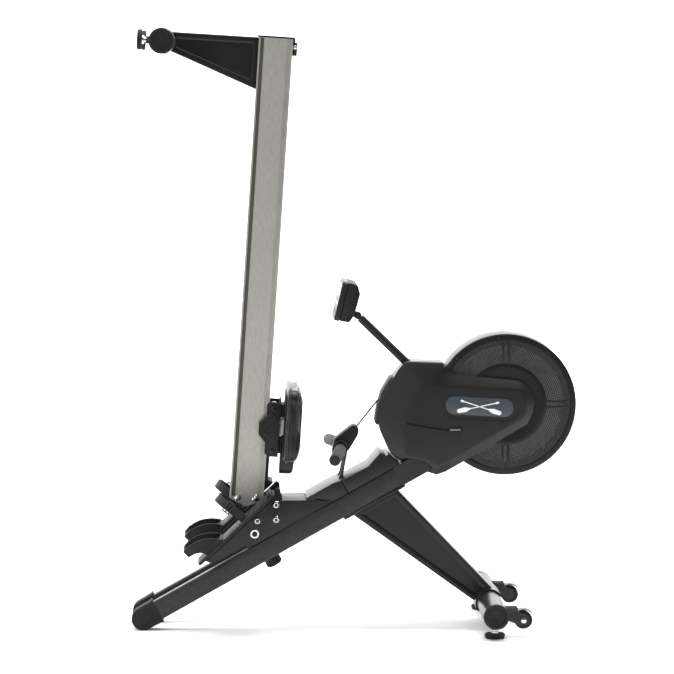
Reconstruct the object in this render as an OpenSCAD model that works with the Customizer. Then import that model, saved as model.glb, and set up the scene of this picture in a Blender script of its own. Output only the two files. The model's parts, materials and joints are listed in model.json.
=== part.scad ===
// Folding air rowing machine, stored with its seat rail standing up.
// Millimetres. +Z up, the rail folds down towards -X, the machine is symmetric about Y = 0 but for its drive.
// Y below zero is called the near side, Y above zero the far side.

/* [Main beams] */
// Slope of the two main beams above the floor, degrees
beam_tilt = 29.2; // [27:0.1:31]
// Height of a beam tube's section
beam_h = 60; // [50:1:66]
// Width of a beam tube's section
beam_w = 38; // [32:1:44]
// Clear gap between the beams
beam_gap = 82; // [80:1:92]
// Wall of the steel tubes
tube_wall = 2.5; // [1.5:0.1:4]
// Length of a beam from its floor end
beam_len = 1010; // [940:5:1230]
// Radius of the round end of a floor cap
cap_r = 34; // [33:0.5:40]

/* [Seat rail] */
// Length of the rail from its pivot to its rear end
rail_len = 1386; // [1120:1:1680]
// Depth of the rail's section, top to underside
rail_h = 102; // [90:1:120]
// Width of the rail's section
rail_w = 70; // [62:1:72]
// Lean of the folded rail from upright, degrees
rail_lean = 3.8; // [0:0.1:6]
// Wall of the rail extrusion
rail_wall = 2.5; // [2:0.1:4]
// Radius of the fold pivot's axle
pivot_r = 8; // [6:0.5:10]
// Width of a groove in the rail's side
groove_w = 11; // [9:0.5:13]

/* [Stand tubes] */
// Radius of the front and rear stand tubes
stand_r = 37; // [30:0.5:42]
// Length of a stand tube
stand_len = 570; // [500:5:600]
// Distance from a stand tube's centre to the floor
foot_drop = 72; // [66:0.5:80]
// Distance from mid-plane to a levelling foot
foot_y = 235; // [225:1:250]
// Radius of a levelling foot
foot_r = 30; // [24:0.5:34]
// Radius of a levelling foot's stem
stem_r = 7; // [5:0.5:8]

/* [Seat] */
// Width of the seat cushion
seat_w = 300; // [260:5:340]
// Thickness of the seat cushion
seat_t = 48; // [35:1:55]
// Radius of a seat roller
roller_r = 14.5; // [10:0.5:14.5]
// Travel of the seat along the rail
seat_travel = 1030; // [700:5:1030]

/* [Foot rests] */
// Length of a foot plate
plate_len = 306; // [270:1:330]
// Width of a foot plate
plate_w = 120; // [100:1:130]
// Thickness of a foot plate
plate_t = 9; // [6:0.5:12]
// Slope of a foot plate above the floor, degrees
plate_tilt = 42.9; // [38:0.1:46]

/* [Fan] */
// Outer radius of the fan cage
fan_r = 214; // [190:1:226]
// Half width of the fan cage
fan_half_w = 60; // [54:1:60]
// Outer radius of the fan wheel
wheel_fan_r = 184; // [160:1:186]
// Number of blades
blade_count = 24; // [16:1:28]
// Radius of the fan axle
axle_r = 6; // [5:0.5:8]

/* [Shroud] */
// Half width over the shroud
shroud_half_w = 87; // [86:0.5:92]
// Wall of the shroud halves
shroud_wall = 3; // [2:0.5:4]

/* [Handle] */
// Radius of a handle grip
grip_r = 17.5; // [14:0.5:19]
// Half length of the handle
handle_half = 249; // [220:1:260]
// Travel of the handle off its hook
handle_travel = 100; // [60:1:100]

/* [Console] */
// Width of the console
console_w = 186; // [150:1:200]
// Height of the console's face
console_h = 121; // [100:1:140]
// Tilt of the console's face back from upright, degrees
console_tilt = 13.6; // [5:0.1:25]

/* [Transport wheels] */
// Radius of a transport wheel
wheel_r = 27; // [22:0.5:29]
// Distance from mid-plane to a transport wheel
wheel_y = 212; // [190:1:220]

/* [Fits] */
// Radial clearance of a shaft in its bore
run_fit = 0.08; // [0.02:0.01:0.1]
// Gap between faces that slide past each other
slide_gap = 0.5; // [0.3:0.1:1]
// Gap between welded or seated pieces
seat_gap = 0.1; // [0.05:0.05:0.2]

/* [Hidden] */
$fn = 64;

// ---- places worked out from the driving sizes ----
// A point is written [x, z]; along = [x, z] of a unit vector.
beam_dir = [cos(beam_tilt), sin(beam_tilt)];
beam_up = [-sin(beam_tilt), cos(beam_tilt)];
// The fan's centre and the front tube, measured along and across the beam from its floor end
fan_s = beam_len + 261;
fan_n = 28;
span = cap_r + fan_s * beam_dir[0] + fan_n * beam_up[0] + fan_r;
beam_origin = [-span / 2 + cap_r, cap_r];
function on_beam(s, n) = [
    beam_origin[0] + s * beam_dir[0] + n * beam_up[0],
    beam_origin[1] + s * beam_dir[1] + n * beam_up[1]
];
beam_in = beam_gap / 2;
beam_out = beam_in + beam_w;
beam_top = beam_h / 2;
pivot_s = 474;
pivot_n = 148;
pivot = on_beam(pivot_s, pivot_n);
fan_c = on_beam(fan_s, fan_n);
// Rail section, measured across the rail from the pivot: its top faces +X when folded
rail_top = 24;
rail_under = rail_top - rail_h;
rail_mid = (rail_top + rail_under) / 2;
rail_half = rail_w / 2;
groove_d = 5.5;
groove_mid = rail_top - 10.5;
// Gussets stand on the beams, set in from the beams' outer faces
gusset_t = 5;
gusset_out = beam_out - 4;
gusset_in = gusset_out - gusset_t;
// Foot plate frame: its low end
foot_s = 239.3;
foot_n = 73.6;
plate_in = beam_out + 3;
plate_mid = plate_in + plate_w / 2;
plate_out = plate_in + plate_w;
foot_rise = plate_tilt - beam_tilt;
// Front tube and wheels
front_x = on_beam(1203, 0)[0];
wheel_dx = 87;
wheel_z = 50.5;
wheel_t = 22;
// Rear tube in the rail's own frame
rear_tube_x = -362.6;
rear_tube_z = rail_len - 32;
// Seat at rest in the rail's own frame
truck_lo = 131;
truck_hi = 297;
truck_in = rail_half + 15;
truck_t = 3;
roller_x = rail_top + 0.3 + roller_r;
seat_lo = 121;
seat_hi = 353;
nose_len = 50;
// Height of the pads between truck and pan
pad_h = 12;
nose_r = 34;
// Handle
handle_c = [-39, 548];
hook_y = 36;
hook_t = 6;
// Drive inside the shroud
spool_c = [fan_c[0] - 283, fan_c[1] - 14];
spool_r = 26;
big_pulley_r = 72;
small_pulley_r = 24;
belt_y = 69;
belt_w = 12;
belt_t = 3;
mount_t = 4;
guide_c = [73, 687];
strap_w = 24;
// Console hinge, in the console's own frame
console_c = [-62.2, 938.1];
hinge_x = 72;
hinge_z = 25;
mast_r = 12.5;

// ---- helpers ----
module across(y0, y1) {
    translate([0, y1, 0]) rotate([90, 0, 0]) linear_extrude(y1 - y0) children();
}
module rod_y(r, y0, y1) {
    translate([0, y0, 0]) rotate([-90, 0, 0]) cylinder(r = r, h = y1 - y0);
}
module ring_y(r_out, r_in, y0, y1) {
    difference() {
        rod_y(r_out, y0, y1);
        rod_y(r_in, y0 - 1, y1 + 1);
    }
}
module at(p) { translate([p[0], 0, p[1]]) children(); }
module beam_frame() { at(beam_origin) rotate([0, -beam_tilt, 0]) children(); }
module rail_frame() { at(pivot) rotate([0, rail_lean, 0]) children(); }
module foot_frame() {
    beam_frame() translate([foot_s, 0, foot_n]) rotate([0, -foot_rise, 0]) children();
}
module console_frame() { at(console_c) rotate([0, console_tilt, 0]) children(); }
// The far side is the near side's mirror image
module far_side() { mirror([0, 1, 0]) children(); }
module both_sides() {
    children();
    far_side() children();
}
// A closed outline moved inwards by d, corners mitred; points run anticlockwise
function unit(v) = v / norm(v);
function left_of(v) = [-v[1], v[0]];
function inset(p, d) = [
    for (i = [0:len(p) - 1])
        let (a = left_of(unit(p[i] - p[(i + len(p) - 1) % len(p)])),
             b = left_of(unit(p[(i + 1) % len(p)] - p[i])))
        p[i] + d * (a + b) / (1 + a * b)
];
// A bar between two points with round ends
module link(a, b, r) {
    d = unit(b - a);
    n = left_of(d) * r;
    polygon([a + n, a - n, b - n, b + n]);
    translate(a) circle(r);
    translate(b) circle(r);
}
// A rectangle about the origin with round corners
module soft_rect(w, h, r) {
    square([w - 2 * r, h], center = true);
    square([w, h - 2 * r], center = true);
    for (x = [-w / 2 + r, w / 2 - r]) for (y = [-h / 2 + r, h / 2 - r]) translate([x, y]) circle(r);
}
module dome_bolt(r, h) {
    intersection() {
        cylinder(r = r, h = h);
        translate([0, 0, h - r * 1.5]) sphere(r * 1.5);
    }
}
// A dome head on the near side, its seat at y
module head_y(r, h, y) { translate([0, y, 0]) rotate([90, 0, 0]) dome_bolt(r, h); }

// ---- main frame ----
module beam_tube() {
    edge_r = 7;
    color([0.05, 0.05, 0.055]) beam_frame() translate([8, -(beam_in + beam_out) / 2, 0])
        rotate([90, 0, 90]) linear_extrude(beam_len - 8) difference() {
            soft_rect(beam_w, beam_h, edge_r);
            soft_rect(beam_w - 2 * tube_wall, beam_h - 2 * tube_wall, edge_r - tube_wall);
        }
}
module main_beam_near() { beam_tube(); }
module main_beam_far() { far_side() beam_tube(); }

cap_len = 50;
module floor_cap() {
    lip = 5;
    color([0.06, 0.06, 0.06]) beam_frame() difference() {
        across(-beam_out - lip, -beam_in + lip) union() {
            circle(cap_r);
            polygon([[0, -cap_r], [cap_len, -cap_r - 2], [cap_len, cap_r + 2], [0, cap_r]]);
        }
        translate([8 - seat_gap, -beam_out - seat_gap, -beam_top - seat_gap])
            cube([cap_len, beam_w + 2 * seat_gap, beam_h + 2 * seat_gap]);
    }
}
module beam_cap_near() { floor_cap(); }
module beam_cap_far() { far_side() floor_cap(); }

gusset_points = [
    [foot_s, foot_n - 1], [261, 48.9], [294, 40], [378, 40], [384, beam_top + seat_gap],
    [676, beam_top + seat_gap], [658, 43.6], [540, 109.4], [554, 138.3], [548, 150], [538, 146.3]
];
module gusset_plate() {
    color([0.06, 0.06, 0.065]) beam_frame() {
        across(-gusset_out, -gusset_in) polygon(gusset_points);
        // Folded edge that the foot plate rests on
        translate([foot_s, 0, foot_n]) rotate([0, -foot_rise, 0])
            translate([20, -gusset_out - 8, -8]) cube([plate_len - 30, 8, 3]);
    }
}
module gusset_near() { gusset_plate(); }
module gusset_far() { far_side() gusset_plate(); }

lug_in = 20;
lug_out = 27;
lug_r = 14.5;
pin_s = 424.6;
pin_r = 6;
module fold_bracket() {
    half = beam_in - seat_gap;
    color([0.07, 0.07, 0.07]) {
        beam_frame() {
            difference() {
                translate([395, -half, -8]) cube([112, 2 * half, 12]);
                translate([pin_s, 0, -9]) cylinder(r = pin_r + run_fit, h = 14);
            }
            both_sides() difference() {
                across(-lug_out, -lug_in) link([pivot_s, lug_r + 1], [pivot_s, pivot_n], lug_r);
                translate([pivot_s, 0, pivot_n]) rod_y(pivot_r + 0.02, -lug_out - 1, -lug_in + 1);
                translate([pivot_s - 30, -lug_out - 1, -4]) cube([60, lug_out, 8]);
            }
        }
        // Top plate that ties the gussets together
        c = on_beam(540, 109.4);
        translate([c[0] + 4, -gusset_in + seat_gap, c[1] - 5])
            cube([118, 2 * (gusset_in - seat_gap), 4]);
    }
}
module pivot_axle() {
    color("silver") at(pivot) {
        rod_y(pivot_r, -rail_half - 0.6, rail_half + 0.6);
        both_sides() head_y(11, 6, -rail_half - 0.6);
    }
}
// Spring pin that locks the fold, with its knob under the beams
knob_r = 25;
pin_top = 80;
module lock_pin() {
    color([0.08, 0.08, 0.08]) beam_frame() translate([pin_s, 0, 0]) {
        translate([0, 0, -60]) cylinder(r = pin_r, h = 60 + pin_top);
        difference() {
            translate([0, 0, -64]) cylinder(r = knob_r, h = 28);
            for (a = [0:20:340]) rotate([0, 0, a]) translate([knob_r + 1, 0, -65])
                cylinder(r = 2.5, h = 30);
            translate([0, 0, -60]) cylinder(r = pin_r - 1, h = 30);
        }
    }
}
bolt_spots = [[520, 105.5], [498, 66], [447, 91]];
cross_pin = [420.5, 59.5];
module frame_bolts() {
    color("silver") {
        both_sides() beam_frame() {
            for (p = bolt_spots) translate([p[0], 0, p[1]]) head_y(11, 7, -gusset_out);
            // Retaining ring on the foot rest's cross pin
            at(cross_pin) ring_y(13.5, 8, -gusset_out - 3, -gusset_out);
            at(cross_pin) rod_y(7.6, -gusset_out - 5, -gusset_out);
        }
        both_sides() for (s = leg_bolts) beam_frame() translate([s, -beam_in - 12, -beam_top - 8])
            rotate([180, 0, 0]) dome_bolt(7, 5);
    }
}

// ---- neck covers and handle hook ----
cover_half = beam_out + 3;
cover_seam = 727;
cover_low = beam_top + seat_gap;
cover_top = 75;
// A hollow cover over both beams, open below; points run anticlockwise in the beam's frame
module neck_cover(points) {
    difference() {
        across(-cover_half, cover_half) polygon(points);
        across(-cover_half + shroud_wall, cover_half - shroud_wall) {
            polygon(inset(points, shroud_wall));
            translate([points[1][0], cover_low - 1])
                square([points[2][0] - points[1][0] - shroud_wall, shroud_wall + 2]);
        }
    }
}
module neck_covers() {
    color([0.07, 0.07, 0.075]) beam_frame() {
        neck_cover([
            [659, 45], [676, cover_low], [cover_seam - 0.5, cover_low], [cover_seam - 0.5, cover_top],
            [702, 79], [610, 79]
        ]);
        neck_cover([
            [cover_seam + 0.5, cover_top - 10], [cover_seam + 0.5, cover_low], [905, cover_low], [894, 60],
            [889, 73.5], [880, 73], [870, 89], [819, 71], [737, 72], [cover_seam + 0.5, cover_top - 1]
        ]);
    }
}
module handle_fork() {
    base = on_beam(726, 77);
    r_in = grip_r - 1;
    r_out = r_in + 5;
    color([0.07, 0.07, 0.07]) both_sides() difference() {
        across(-hook_y - hook_t, -hook_y) {
            // Half a ring on the strap's side, so the strap's pull seats the handle in it
            translate(handle_c) difference() {
                circle(r_out);
                circle(r_in);
                rotate(strap_angle) translate([-60, -60]) square([60, 120]);
            }
            polygon([
                [base[0] - 8, base[1] - 12], [base[0] + 12, base[1] - 4], [base[0] + 10, base[1] + 10],
                [handle_c[0] + r_out, handle_c[1] - 6], [handle_c[0] + r_out, handle_c[1] + 2],
                [handle_c[0] + r_in, handle_c[1] + 2], [base[0] + 2, base[1] + 12]
            ]);
        }
        // Its foot follows the top of the cover
        beam_frame() across(-2 * hook_y, 0) polygon([
            [660, 40], [780, 40], [780, 72.4], [737, 72.4], [cover_seam, cover_top + 0.4], [702, 79.4], [660, 79.4]
        ]);
    }
}

// ---- front leg, tube, wheels, feet ----
leg_half = 40;
leg_flange = [678, 888];
leg_bolts = [692, 874];
leg_t = 2.5;
front_c = [front_x, foot_drop];
module front_leg() {
    tl = on_beam(704, -beam_top - 8);
    tr = on_beam(859, -beam_top - 8);
    br = [front_c[0] + 12, front_c[1] + 40];
    bl = [front_c[0] - 49, front_c[1] + 6];
    color([0.05, 0.05, 0.055]) {
        difference() {
            across(-leg_half, leg_half) polygon([tl, bl, front_c, br, tr]);
            across(-leg_half + leg_t, leg_half - leg_t) polygon(inset([tl, bl, front_c, br, tr], leg_t));
            at(front_c) rod_y(stand_r + seat_gap, -60, 60);
        }
        beam_frame() translate([leg_flange[0], -beam_out + 2, -beam_top - 8])
            cube([leg_flange[1] - leg_flange[0], 2 * beam_out - 4, 8 - seat_gap]);
        // Saddle that clamps the tube
        at(front_c) ring_sector();
    }
}
module ring_sector() {
    difference() {
        ring_y(stand_r + 6, stand_r + seat_gap, -58, 58);
        rotate([0, -45, 0]) translate([-80, -60, -160 + 8]) cube([160, 120, 160]);
    }
}
// A stand tube along Y with end plugs and bosses for its two levelling feet, feet pointing -Z
module stand_tube() {
    half = stand_len / 2;
    difference() {
        union() {
            ring_y(stand_r, stand_r - tube_wall, -half, half);
            both_sides() translate([0, -foot_y, -stand_r + 1]) cylinder(r = stem_r + 5, h = 22);
        }
        both_sides() translate([0, -foot_y, -stand_r - 5])
            cylinder(r = stem_r + run_fit, h = 40);
    }
    both_sides() {
        difference() {
            union() {
                rod_y(stand_r, -half - 7, -half - seat_gap);
                rod_y(stand_r - tube_wall - seat_gap, -half - 1, -half + 15);
            }
            rod_y(stand_r - 8, -half + 1, -half + 16);
        }
    }
}
// A levelling foot: rubber disc and chrome stem, its floor face at -foot_drop
module level_foot() {
    translate([0, 0, -foot_drop]) {
        cylinder(r = foot_r - 1, h = 5);
        translate([0, 0, 4]) cylinder(r = foot_r, h = 9);
        translate([0, 0, 12]) cylinder(r = 12, h = 8);
        translate([0, 0, 12]) cylinder(r = stem_r, h = foot_drop - 12 - 14);
    }
}
module front_tube() { color([0.05, 0.05, 0.055]) at(front_c) stand_tube(); }
module front_foot_near() {
    color([0.1, 0.1, 0.1]) at(front_c) translate([0, -foot_y, 0]) level_foot();
}
module front_foot_far() { far_side() front_foot_near(); }

wheel_rel = [wheel_dx, wheel_z - foot_drop];
wheel_pin_r = 5;
module wheel_brackets() {
    gap = wheel_t / 2 + 2;
    cheek = 3;
    color([0.05, 0.05, 0.055]) both_sides() at(front_c) translate([0, -wheel_y, 0]) {
        difference() {
            union() {
                for (y = [-gap - cheek, gap]) across(y, y + cheek) difference() {
                    union() {
                        link([20, 5], wheel_rel, 18);
                        translate([20, -13]) square([50, 30]);
                    }
                    circle(stand_r + seat_gap);
                }
                // Fender over the wheel
                across(-gap - cheek, gap + cheek) difference() {
                    translate(wheel_rel) circle(wheel_r + 7);
                    translate(wheel_rel) circle(wheel_r + 4);
                    translate([-60, -130]) square([300, 130]);
                    circle(stand_r + seat_gap);
                }
            }
            at(wheel_rel) rod_y(wheel_pin_r + 0.02, -30, 30);
        }
    }
    color("silver") both_sides() at(front_c) at(wheel_rel) translate([0, -wheel_y, 0]) {
        rod_y(wheel_pin_r, -gap - cheek, gap + cheek);
        translate([0, -gap - cheek, 0]) rotate([90, 0, 0]) cylinder(r = 9, h = 5);
    }
}
module transport_wheel() {
    at(front_c) at(wheel_rel) translate([0, -wheel_y, 0]) difference() {
        union() {
            rod_y(wheel_r, -wheel_t / 2 + 3, wheel_t / 2 - 3);
            rod_y(wheel_r - 3, -wheel_t / 2, wheel_t / 2);
        }
        rod_y(wheel_pin_r + run_fit, -wheel_t, wheel_t);
        both_sides() ring_y(wheel_r - 8, 10, -wheel_t, -wheel_t / 2 + 3);
    }
}
module wheel_near() { color([0.08, 0.08, 0.08]) transport_wheel(); }
module wheel_far() { color([0.08, 0.08, 0.08]) far_side() transport_wheel(); }

// ---- foot rests ----
strap_s = 195;
strap_w2 = 26;
strap_h = 103;
module plate_slots() {
    for (y = [-plate_mid - 51, -plate_mid + 48])
        translate([strap_s - strap_w2 / 2 - 1, y, -20]) cube([strap_w2 + 2, 4, 40]);
}
module foot_plates() {
    r = 14;
    color([0.07, 0.07, 0.07]) both_sides() foot_frame() {
        difference() {
            union() {
                for (x = [r, plate_len - r]) for (y = [-plate_out + r, -plate_in - r])
                    translate([x, y, 0]) cylinder(r = r, h = plate_t);
                translate([r, -plate_out, 0]) cube([plate_len - 2 * r, plate_w, plate_t]);
                translate([0, -plate_out + r, 0]) cube([plate_len, plate_w - 2 * r, plate_t]);
            }
            plate_slots();
            // Guide slot of the heel cup
            translate([18, -plate_mid - 5, -1]) cube([140, 10, plate_t + 2]);
        }
        // Carrier from the gusset under the plate
        translate([40, -plate_mid - 20, -5 + seat_gap])
            cube([225, plate_mid + 20 - gusset_out - seat_gap, 5 - 2 * seat_gap]);
    }
}
heel_w = 112;
module heel_outline() {
    polygon([
        [-6, 42], [-7, 65], [13, 67], [31, 64], [49, 59], [65, 50.5], [80, 39], [94, 25], [104, plate_t + 0.4],
        [38, plate_t + 0.4], [36, 18], [28, 29], [14, 37]
    ]);
}
module heel_cup() {
    color([0.07, 0.07, 0.07]) foot_frame() {
        difference() {
            across(-plate_mid - heel_w / 2, -plate_mid + heel_w / 2) heel_outline();
            translate([0, -plate_mid - heel_w / 2 + 4, 0]) across(0, heel_w - 8)
                polygon([[-2, 0], [-2, 80], [140, 80], [140, plate_t + 5], [34, plate_t + 5], [34, 0]]);
        }
        // Tongue that slides in the plate's slot
        translate([44, -plate_mid - 4.5, 3]) cube([58, 9, plate_t]);
    }
}
module heel_cup_near() { heel_cup(); }
module heel_cup_far() { far_side() heel_cup(); }

strap_lean = 10;
function arch(a, w, h, p = 2.6) = [
    w * sign(cos(a)) * pow(abs(cos(a)), 2 / p),
    h * pow(abs(sin(a)), 2 / p)
];
module foot_straps() {
    half = 50;
    color([0.08, 0.08, 0.08]) both_sides() foot_frame()
        translate([strap_s, -plate_mid, 0]) rotate([0, -strap_lean, 0])
        translate([-strap_w2 / 2, 0, 0]) rotate([90, 0, 90]) linear_extrude(strap_w2) polygon(concat(
            [for (a = [0:10:180]) arch(a, half, strap_h) + [0, plate_t + 2.6]],
            [for (a = [180:-10:0]) arch(a, half - 2.5, strap_h - 2.5) + [0, plate_t + 2.6]]
        ));
}
module strap_buckles() {
    color([0.12, 0.12, 0.12]) both_sides() foot_frame()
        translate([strap_s, -plate_mid, 0]) rotate([0, -strap_lean, 0])
        translate([0, -52, plate_t + 62]) difference() {
            cube([strap_w2 + 8, 6, 22], center = true);
            cube([strap_w2 + 1, 5, 15], center = true);
        }
}

// ---- fan ----
ring_w = 19;
module fan_drum() {
    color([0.05, 0.05, 0.05]) at(fan_c) ring_y(fan_r, fan_r - 3, -fan_half_w + 4, fan_half_w - 4);
}
// One side of the cage: outer ring, three ribs and a plain middle over a fine mesh
module grille_side(hole) {
    color([0.06, 0.06, 0.06]) at(fan_c) difference() {
        union() {
            ring_y(fan_r, fan_r - ring_w, -fan_half_w, -fan_half_w + 4 - seat_gap);
            rod_y(fan_r - ring_w + 1, -fan_half_w + 1, -fan_half_w + 3);
        }
        rod_y(hole, -fan_half_w - 1, -fan_half_w + 5);
    }
}
module fan_grille_near() { grille_side(15); }
module fan_grille_far() { far_side() grille_side(22); }
// Steel plates that carry the fan and the strap spool between the shroud halves
module fan_mounts() {
    y0 = beam_out + seat_gap;
    low = on_beam(beam_len - 45, 0);
    color([0.3, 0.3, 0.32]) both_sides() difference() {
        across(-y0 - mount_t, -y0) {
            link(spool_c, fan_c, 34);
            link(spool_c, mast_foot, 16);
            link(low, spool_c, 16);
            link(low, fan_c, 16);
        }
        at(fan_c) rod_y(axle_r + 0.02, -y0 - 10, -y0 + 5);
        at(spool_c) rod_y(axle_r + 0.02, -y0 - 10, -y0 + 5);
    }
}
module fan_axle() {
    y1 = beam_out + mount_t;
    color("silver") {
        at(fan_c) rod_y(axle_r, -y1, y1);
        at(spool_c) rod_y(axle_r, -y1, y1);
    }
}
hub_half = 15;
hub_r = 40;
bearing_r = 15;
bearing_w = 9;
module fan_wheel() {
    color([0.1, 0.1, 0.1]) at(fan_c) difference() {
        union() {
            rod_y(hub_r, -hub_half, hub_half);
            rod_y(wheel_fan_r - 2, -1.5, 1.5);
            for (i = [0:blade_count - 1]) rotate([0, i * 360 / blade_count, 0])
                translate([88, 0, 0]) rotate([0, 18, 0])
                translate([0, -44, -1.2]) cube([wheel_fan_r - 90, 88, 2.4]);
        }
        rod_y(axle_r + 2, -hub_half - 1, hub_half + 1);
        both_sides() rod_y(bearing_r + seat_gap, -hub_half - 1, -hub_half + bearing_w);
    }
}
module fan_bearings() {
    color("silver") at(fan_c) both_sides()
        ring_y(bearing_r, axle_r + run_fit, -hub_half, -hub_half + bearing_w - seat_gap);
}
// Freewheel pulley: its sleeve reaches through the far grille to the fan's clutch
module small_pulley() {
    y0 = belt_y - belt_w / 2;
    color([0.55, 0.55, 0.57]) at(fan_c) difference() {
        union() {
            rod_y(16, hub_half + 1, y0);
            rod_y(small_pulley_r, y0 - 1, y0 + belt_w);
        }
        rod_y(axle_r + run_fit, 0, 100);
    }
}
module strap_spool() {
    y0 = belt_y - belt_w / 2;
    color([0.12, 0.12, 0.12]) at(spool_c) difference() {
        union() {
            rod_y(spool_r + 4, -strap_w / 2 - 1, strap_w / 2 + 1);
            rod_y(38, -strap_w / 2 - 4, -strap_w / 2 - 1);
            rod_y(38, strap_w / 2 + 1, strap_w / 2 + 4);
            rod_y(16, 0, y0);
            rod_y(big_pulley_r, y0 - 1, y0 + belt_w);
        }
        rod_y(axle_r + run_fit, -100, 100);
    }
}
// Open belt round the two pulleys, tangent to both
module drive_belt() {
    d = fan_c - spool_c;
    turn = acos((big_pulley_r - small_pulley_r) / norm(d));
    way = atan2(d[1], d[0]);
    y0 = belt_y - belt_w / 2 + 0.5;
    inner = 0.3;
    color([0.05, 0.05, 0.05]) across(y0, y0 + belt_w - 1.5) difference() {
        belt_loop(way, turn, inner + belt_t);
        belt_loop(way, turn, inner);
    }
}
module belt_loop(way, turn, extra) {
    r1 = big_pulley_r + extra;
    r2 = small_pulley_r + extra;
    up = [cos(way + turn), sin(way + turn)];
    dn = [cos(way - turn), sin(way - turn)];
    translate(spool_c) circle(r1);
    translate(fan_c) circle(r2);
    polygon([spool_c + r1 * up, spool_c + r1 * dn, fan_c + r2 * dn, fan_c + r2 * up]);
}

// ---- shroud ----
// Outline of a half, from the fan's centre, anticlockwise from the hub's right side
hub_x = 86;
shroud_shape = [
    [hub_x, 6], [84, 24], [75, 46], [58, 64], [36, 73], [22, 75], [-154, 93], [-168, 97], [-176, 102],
    [-186, 110], [-189, 118], [-186, 124], [-288, 128], [-302, 126], [-318, 106], [-343, 75], [-366, 34],
    [-377, -4], [-385, -50], [-375, -87], [-355, -133], [-335, -158], [-311, -170], [-242, -200], [-209, -211],
    [-182, -202], [-117, -165], [49, -68], [64, -59], [72, -45], [81, -24]
];
function shroud_world() = [for (p = shroud_shape) p + fan_c];
panel_half = 40;
panel_lo = -62;
panel_hi = 82;
module shroud_half() {
    outline = shroud_world();
    color([0.07, 0.07, 0.075]) difference() {
        across(-shroud_half_w, -slide_gap / 2) polygon(outline);
        across(-shroud_half_w + shroud_wall, 1) polygon(inset(outline, shroud_wall));
        at(fan_c) rod_y(fan_r + 1, -fan_half_w - 1.5, 1);
        // Notch for the front panel
        translate([fan_c[0] - 420, -panel_half - 1, fan_c[1] + panel_lo - 1])
            cube([110, panel_half + 2, panel_hi - panel_lo + 2]);
        // Way in for the beams, and for the fan mounts beside them
        beam_frame() translate([beam_len - 130, -beam_out - mount_t - slide_gap, -beam_top - 1])
            cube([100, beam_out + mount_t + 5, beam_h + 2]);
        mast_line() cylinder(r = mast_r + 0.5, h = 400);
    }
}
module shroud_near() { shroud_half(); }
module shroud_far() { far_side() shroud_half(); }
// Strip between the halves that the strap comes out of
module front_panel() {
    outline = shroud_world();
    outer = inset(outline, -9);
    color([0.25, 0.26, 0.27]) difference() {
        intersection() {
            across(-panel_half, panel_half) polygon(outer);
            translate([fan_c[0] - 420, -panel_half, fan_c[1] + panel_lo])
                cube([104, 2 * panel_half, panel_hi - panel_lo]);
        }
        across(-panel_half + 4, panel_half - 4) polygon(inset(outline, -5));
        across(-panel_half - 1, panel_half + 1) polygon(inset(outline, 4));
        translate([guide_c[0] - 40, -strap_w / 2 - 3, guide_c[1] - 7])
            cube([90, strap_w + 6, 14]);
    }
}
badge_tilt = -3.4;
module badges() {
    c = fan_c + [-81, -2.6];
    color([0.42, 0.48, 0.55]) both_sides() across(-shroud_half_w - 1.6, -shroud_half_w)
        translate(c) rotate(badge_tilt) {
            square([150, 55], center = true);
            for (x = [-75, 75]) translate([x, 0]) circle(27.5);
        }
}
screw_spots = [[-264, 98, 6], [-310, 71, 4], [-355, -101, 4], [-227, -165, 5], [-73, -63.5, 5]];
ring_screws = [96, 50, 0, -50, -120.6, 136.6];
module shroud_screws() {
    color([0.1, 0.1, 0.1]) both_sides() {
        for (p = screw_spots) at(fan_c + [p[0], p[1]]) head_y(p[2], 1.6, -shroud_half_w);
        for (a = ring_screws) at(fan_c + (fan_r - 13) * [cos(a), sin(a)])
            head_y(4, 1.6, -fan_half_w);
    }
}

// ---- handle ----
hub_half_y = 28;
handle_sweep = [-26, -11];
module handle_bar() {
    c = handle_c;
    y0 = 62;
    y1 = handle_half - 4;
    back = handle_sweep;
    run = sqrt(back * back + (y1 - y0) * (y1 - y0));
    color([0.09, 0.09, 0.09]) {
        difference() {
            across(-hub_half_y, hub_half_y) polygon([
                c + [-27, -20], c + [-14, -24], c + [24, -12], c + [52, 34], c + [56, 52], c + [50, 64],
                c + [36, 66], c + [-18, 24]
            ]);
            at(strap_end) rotate([0, -strap_angle, 0]) translate([-14, -strap_w / 2 - 1, -2])
                cube([40, strap_w + 2, 4]);
        }
        at(c) rod_y(11, -y0 - 4, y0 + 4);
        both_sides() at(c) translate([0, -y0, 0]) handle_turn()
            cylinder(r = 11, h = run);
    }
}
// Turns Z onto the line of the near grip
module handle_turn() {
    back = handle_sweep;
    out = handle_half - 66;
    rotate([0, 0, atan2(-out, back[0])]) rotate([0, 90, 0])
        rotate([0, atan2(-back[1], norm([out, back[0]])), 0]) children();
}
module handle_grips() {
    run = norm([handle_sweep[0], handle_sweep[1], handle_half - 66]);
    color([0.14, 0.14, 0.14]) both_sides() at(handle_c) translate([0, -62, 0]) handle_turn()
        translate([0, 0, 24]) difference() {
            union() {
                cylinder(r = grip_r, h = run - 24);
                translate([0, 0, run - 24]) intersection() {
                    cylinder(r = grip_r, h = 5);
                    translate([0, 0, -22]) sphere(27);
                }
            }
            translate([0, 0, -1]) cylinder(r = 11 + seat_gap, h = run - 22);
        }
}
strap_end = handle_c + [52, 63.8];
strap_angle = atan2(guide_c[1] - strap_end[1], guide_c[0] - strap_end[0]);
module pull_strap() {
    run = norm(guide_c - strap_end);
    color([0.12, 0.12, 0.12]) at(strap_end) rotate([0, -strap_angle, 0])
        translate([-10, -strap_w / 2, -0.9]) cube([run + 10, strap_w, 1.8]);
}

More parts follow.
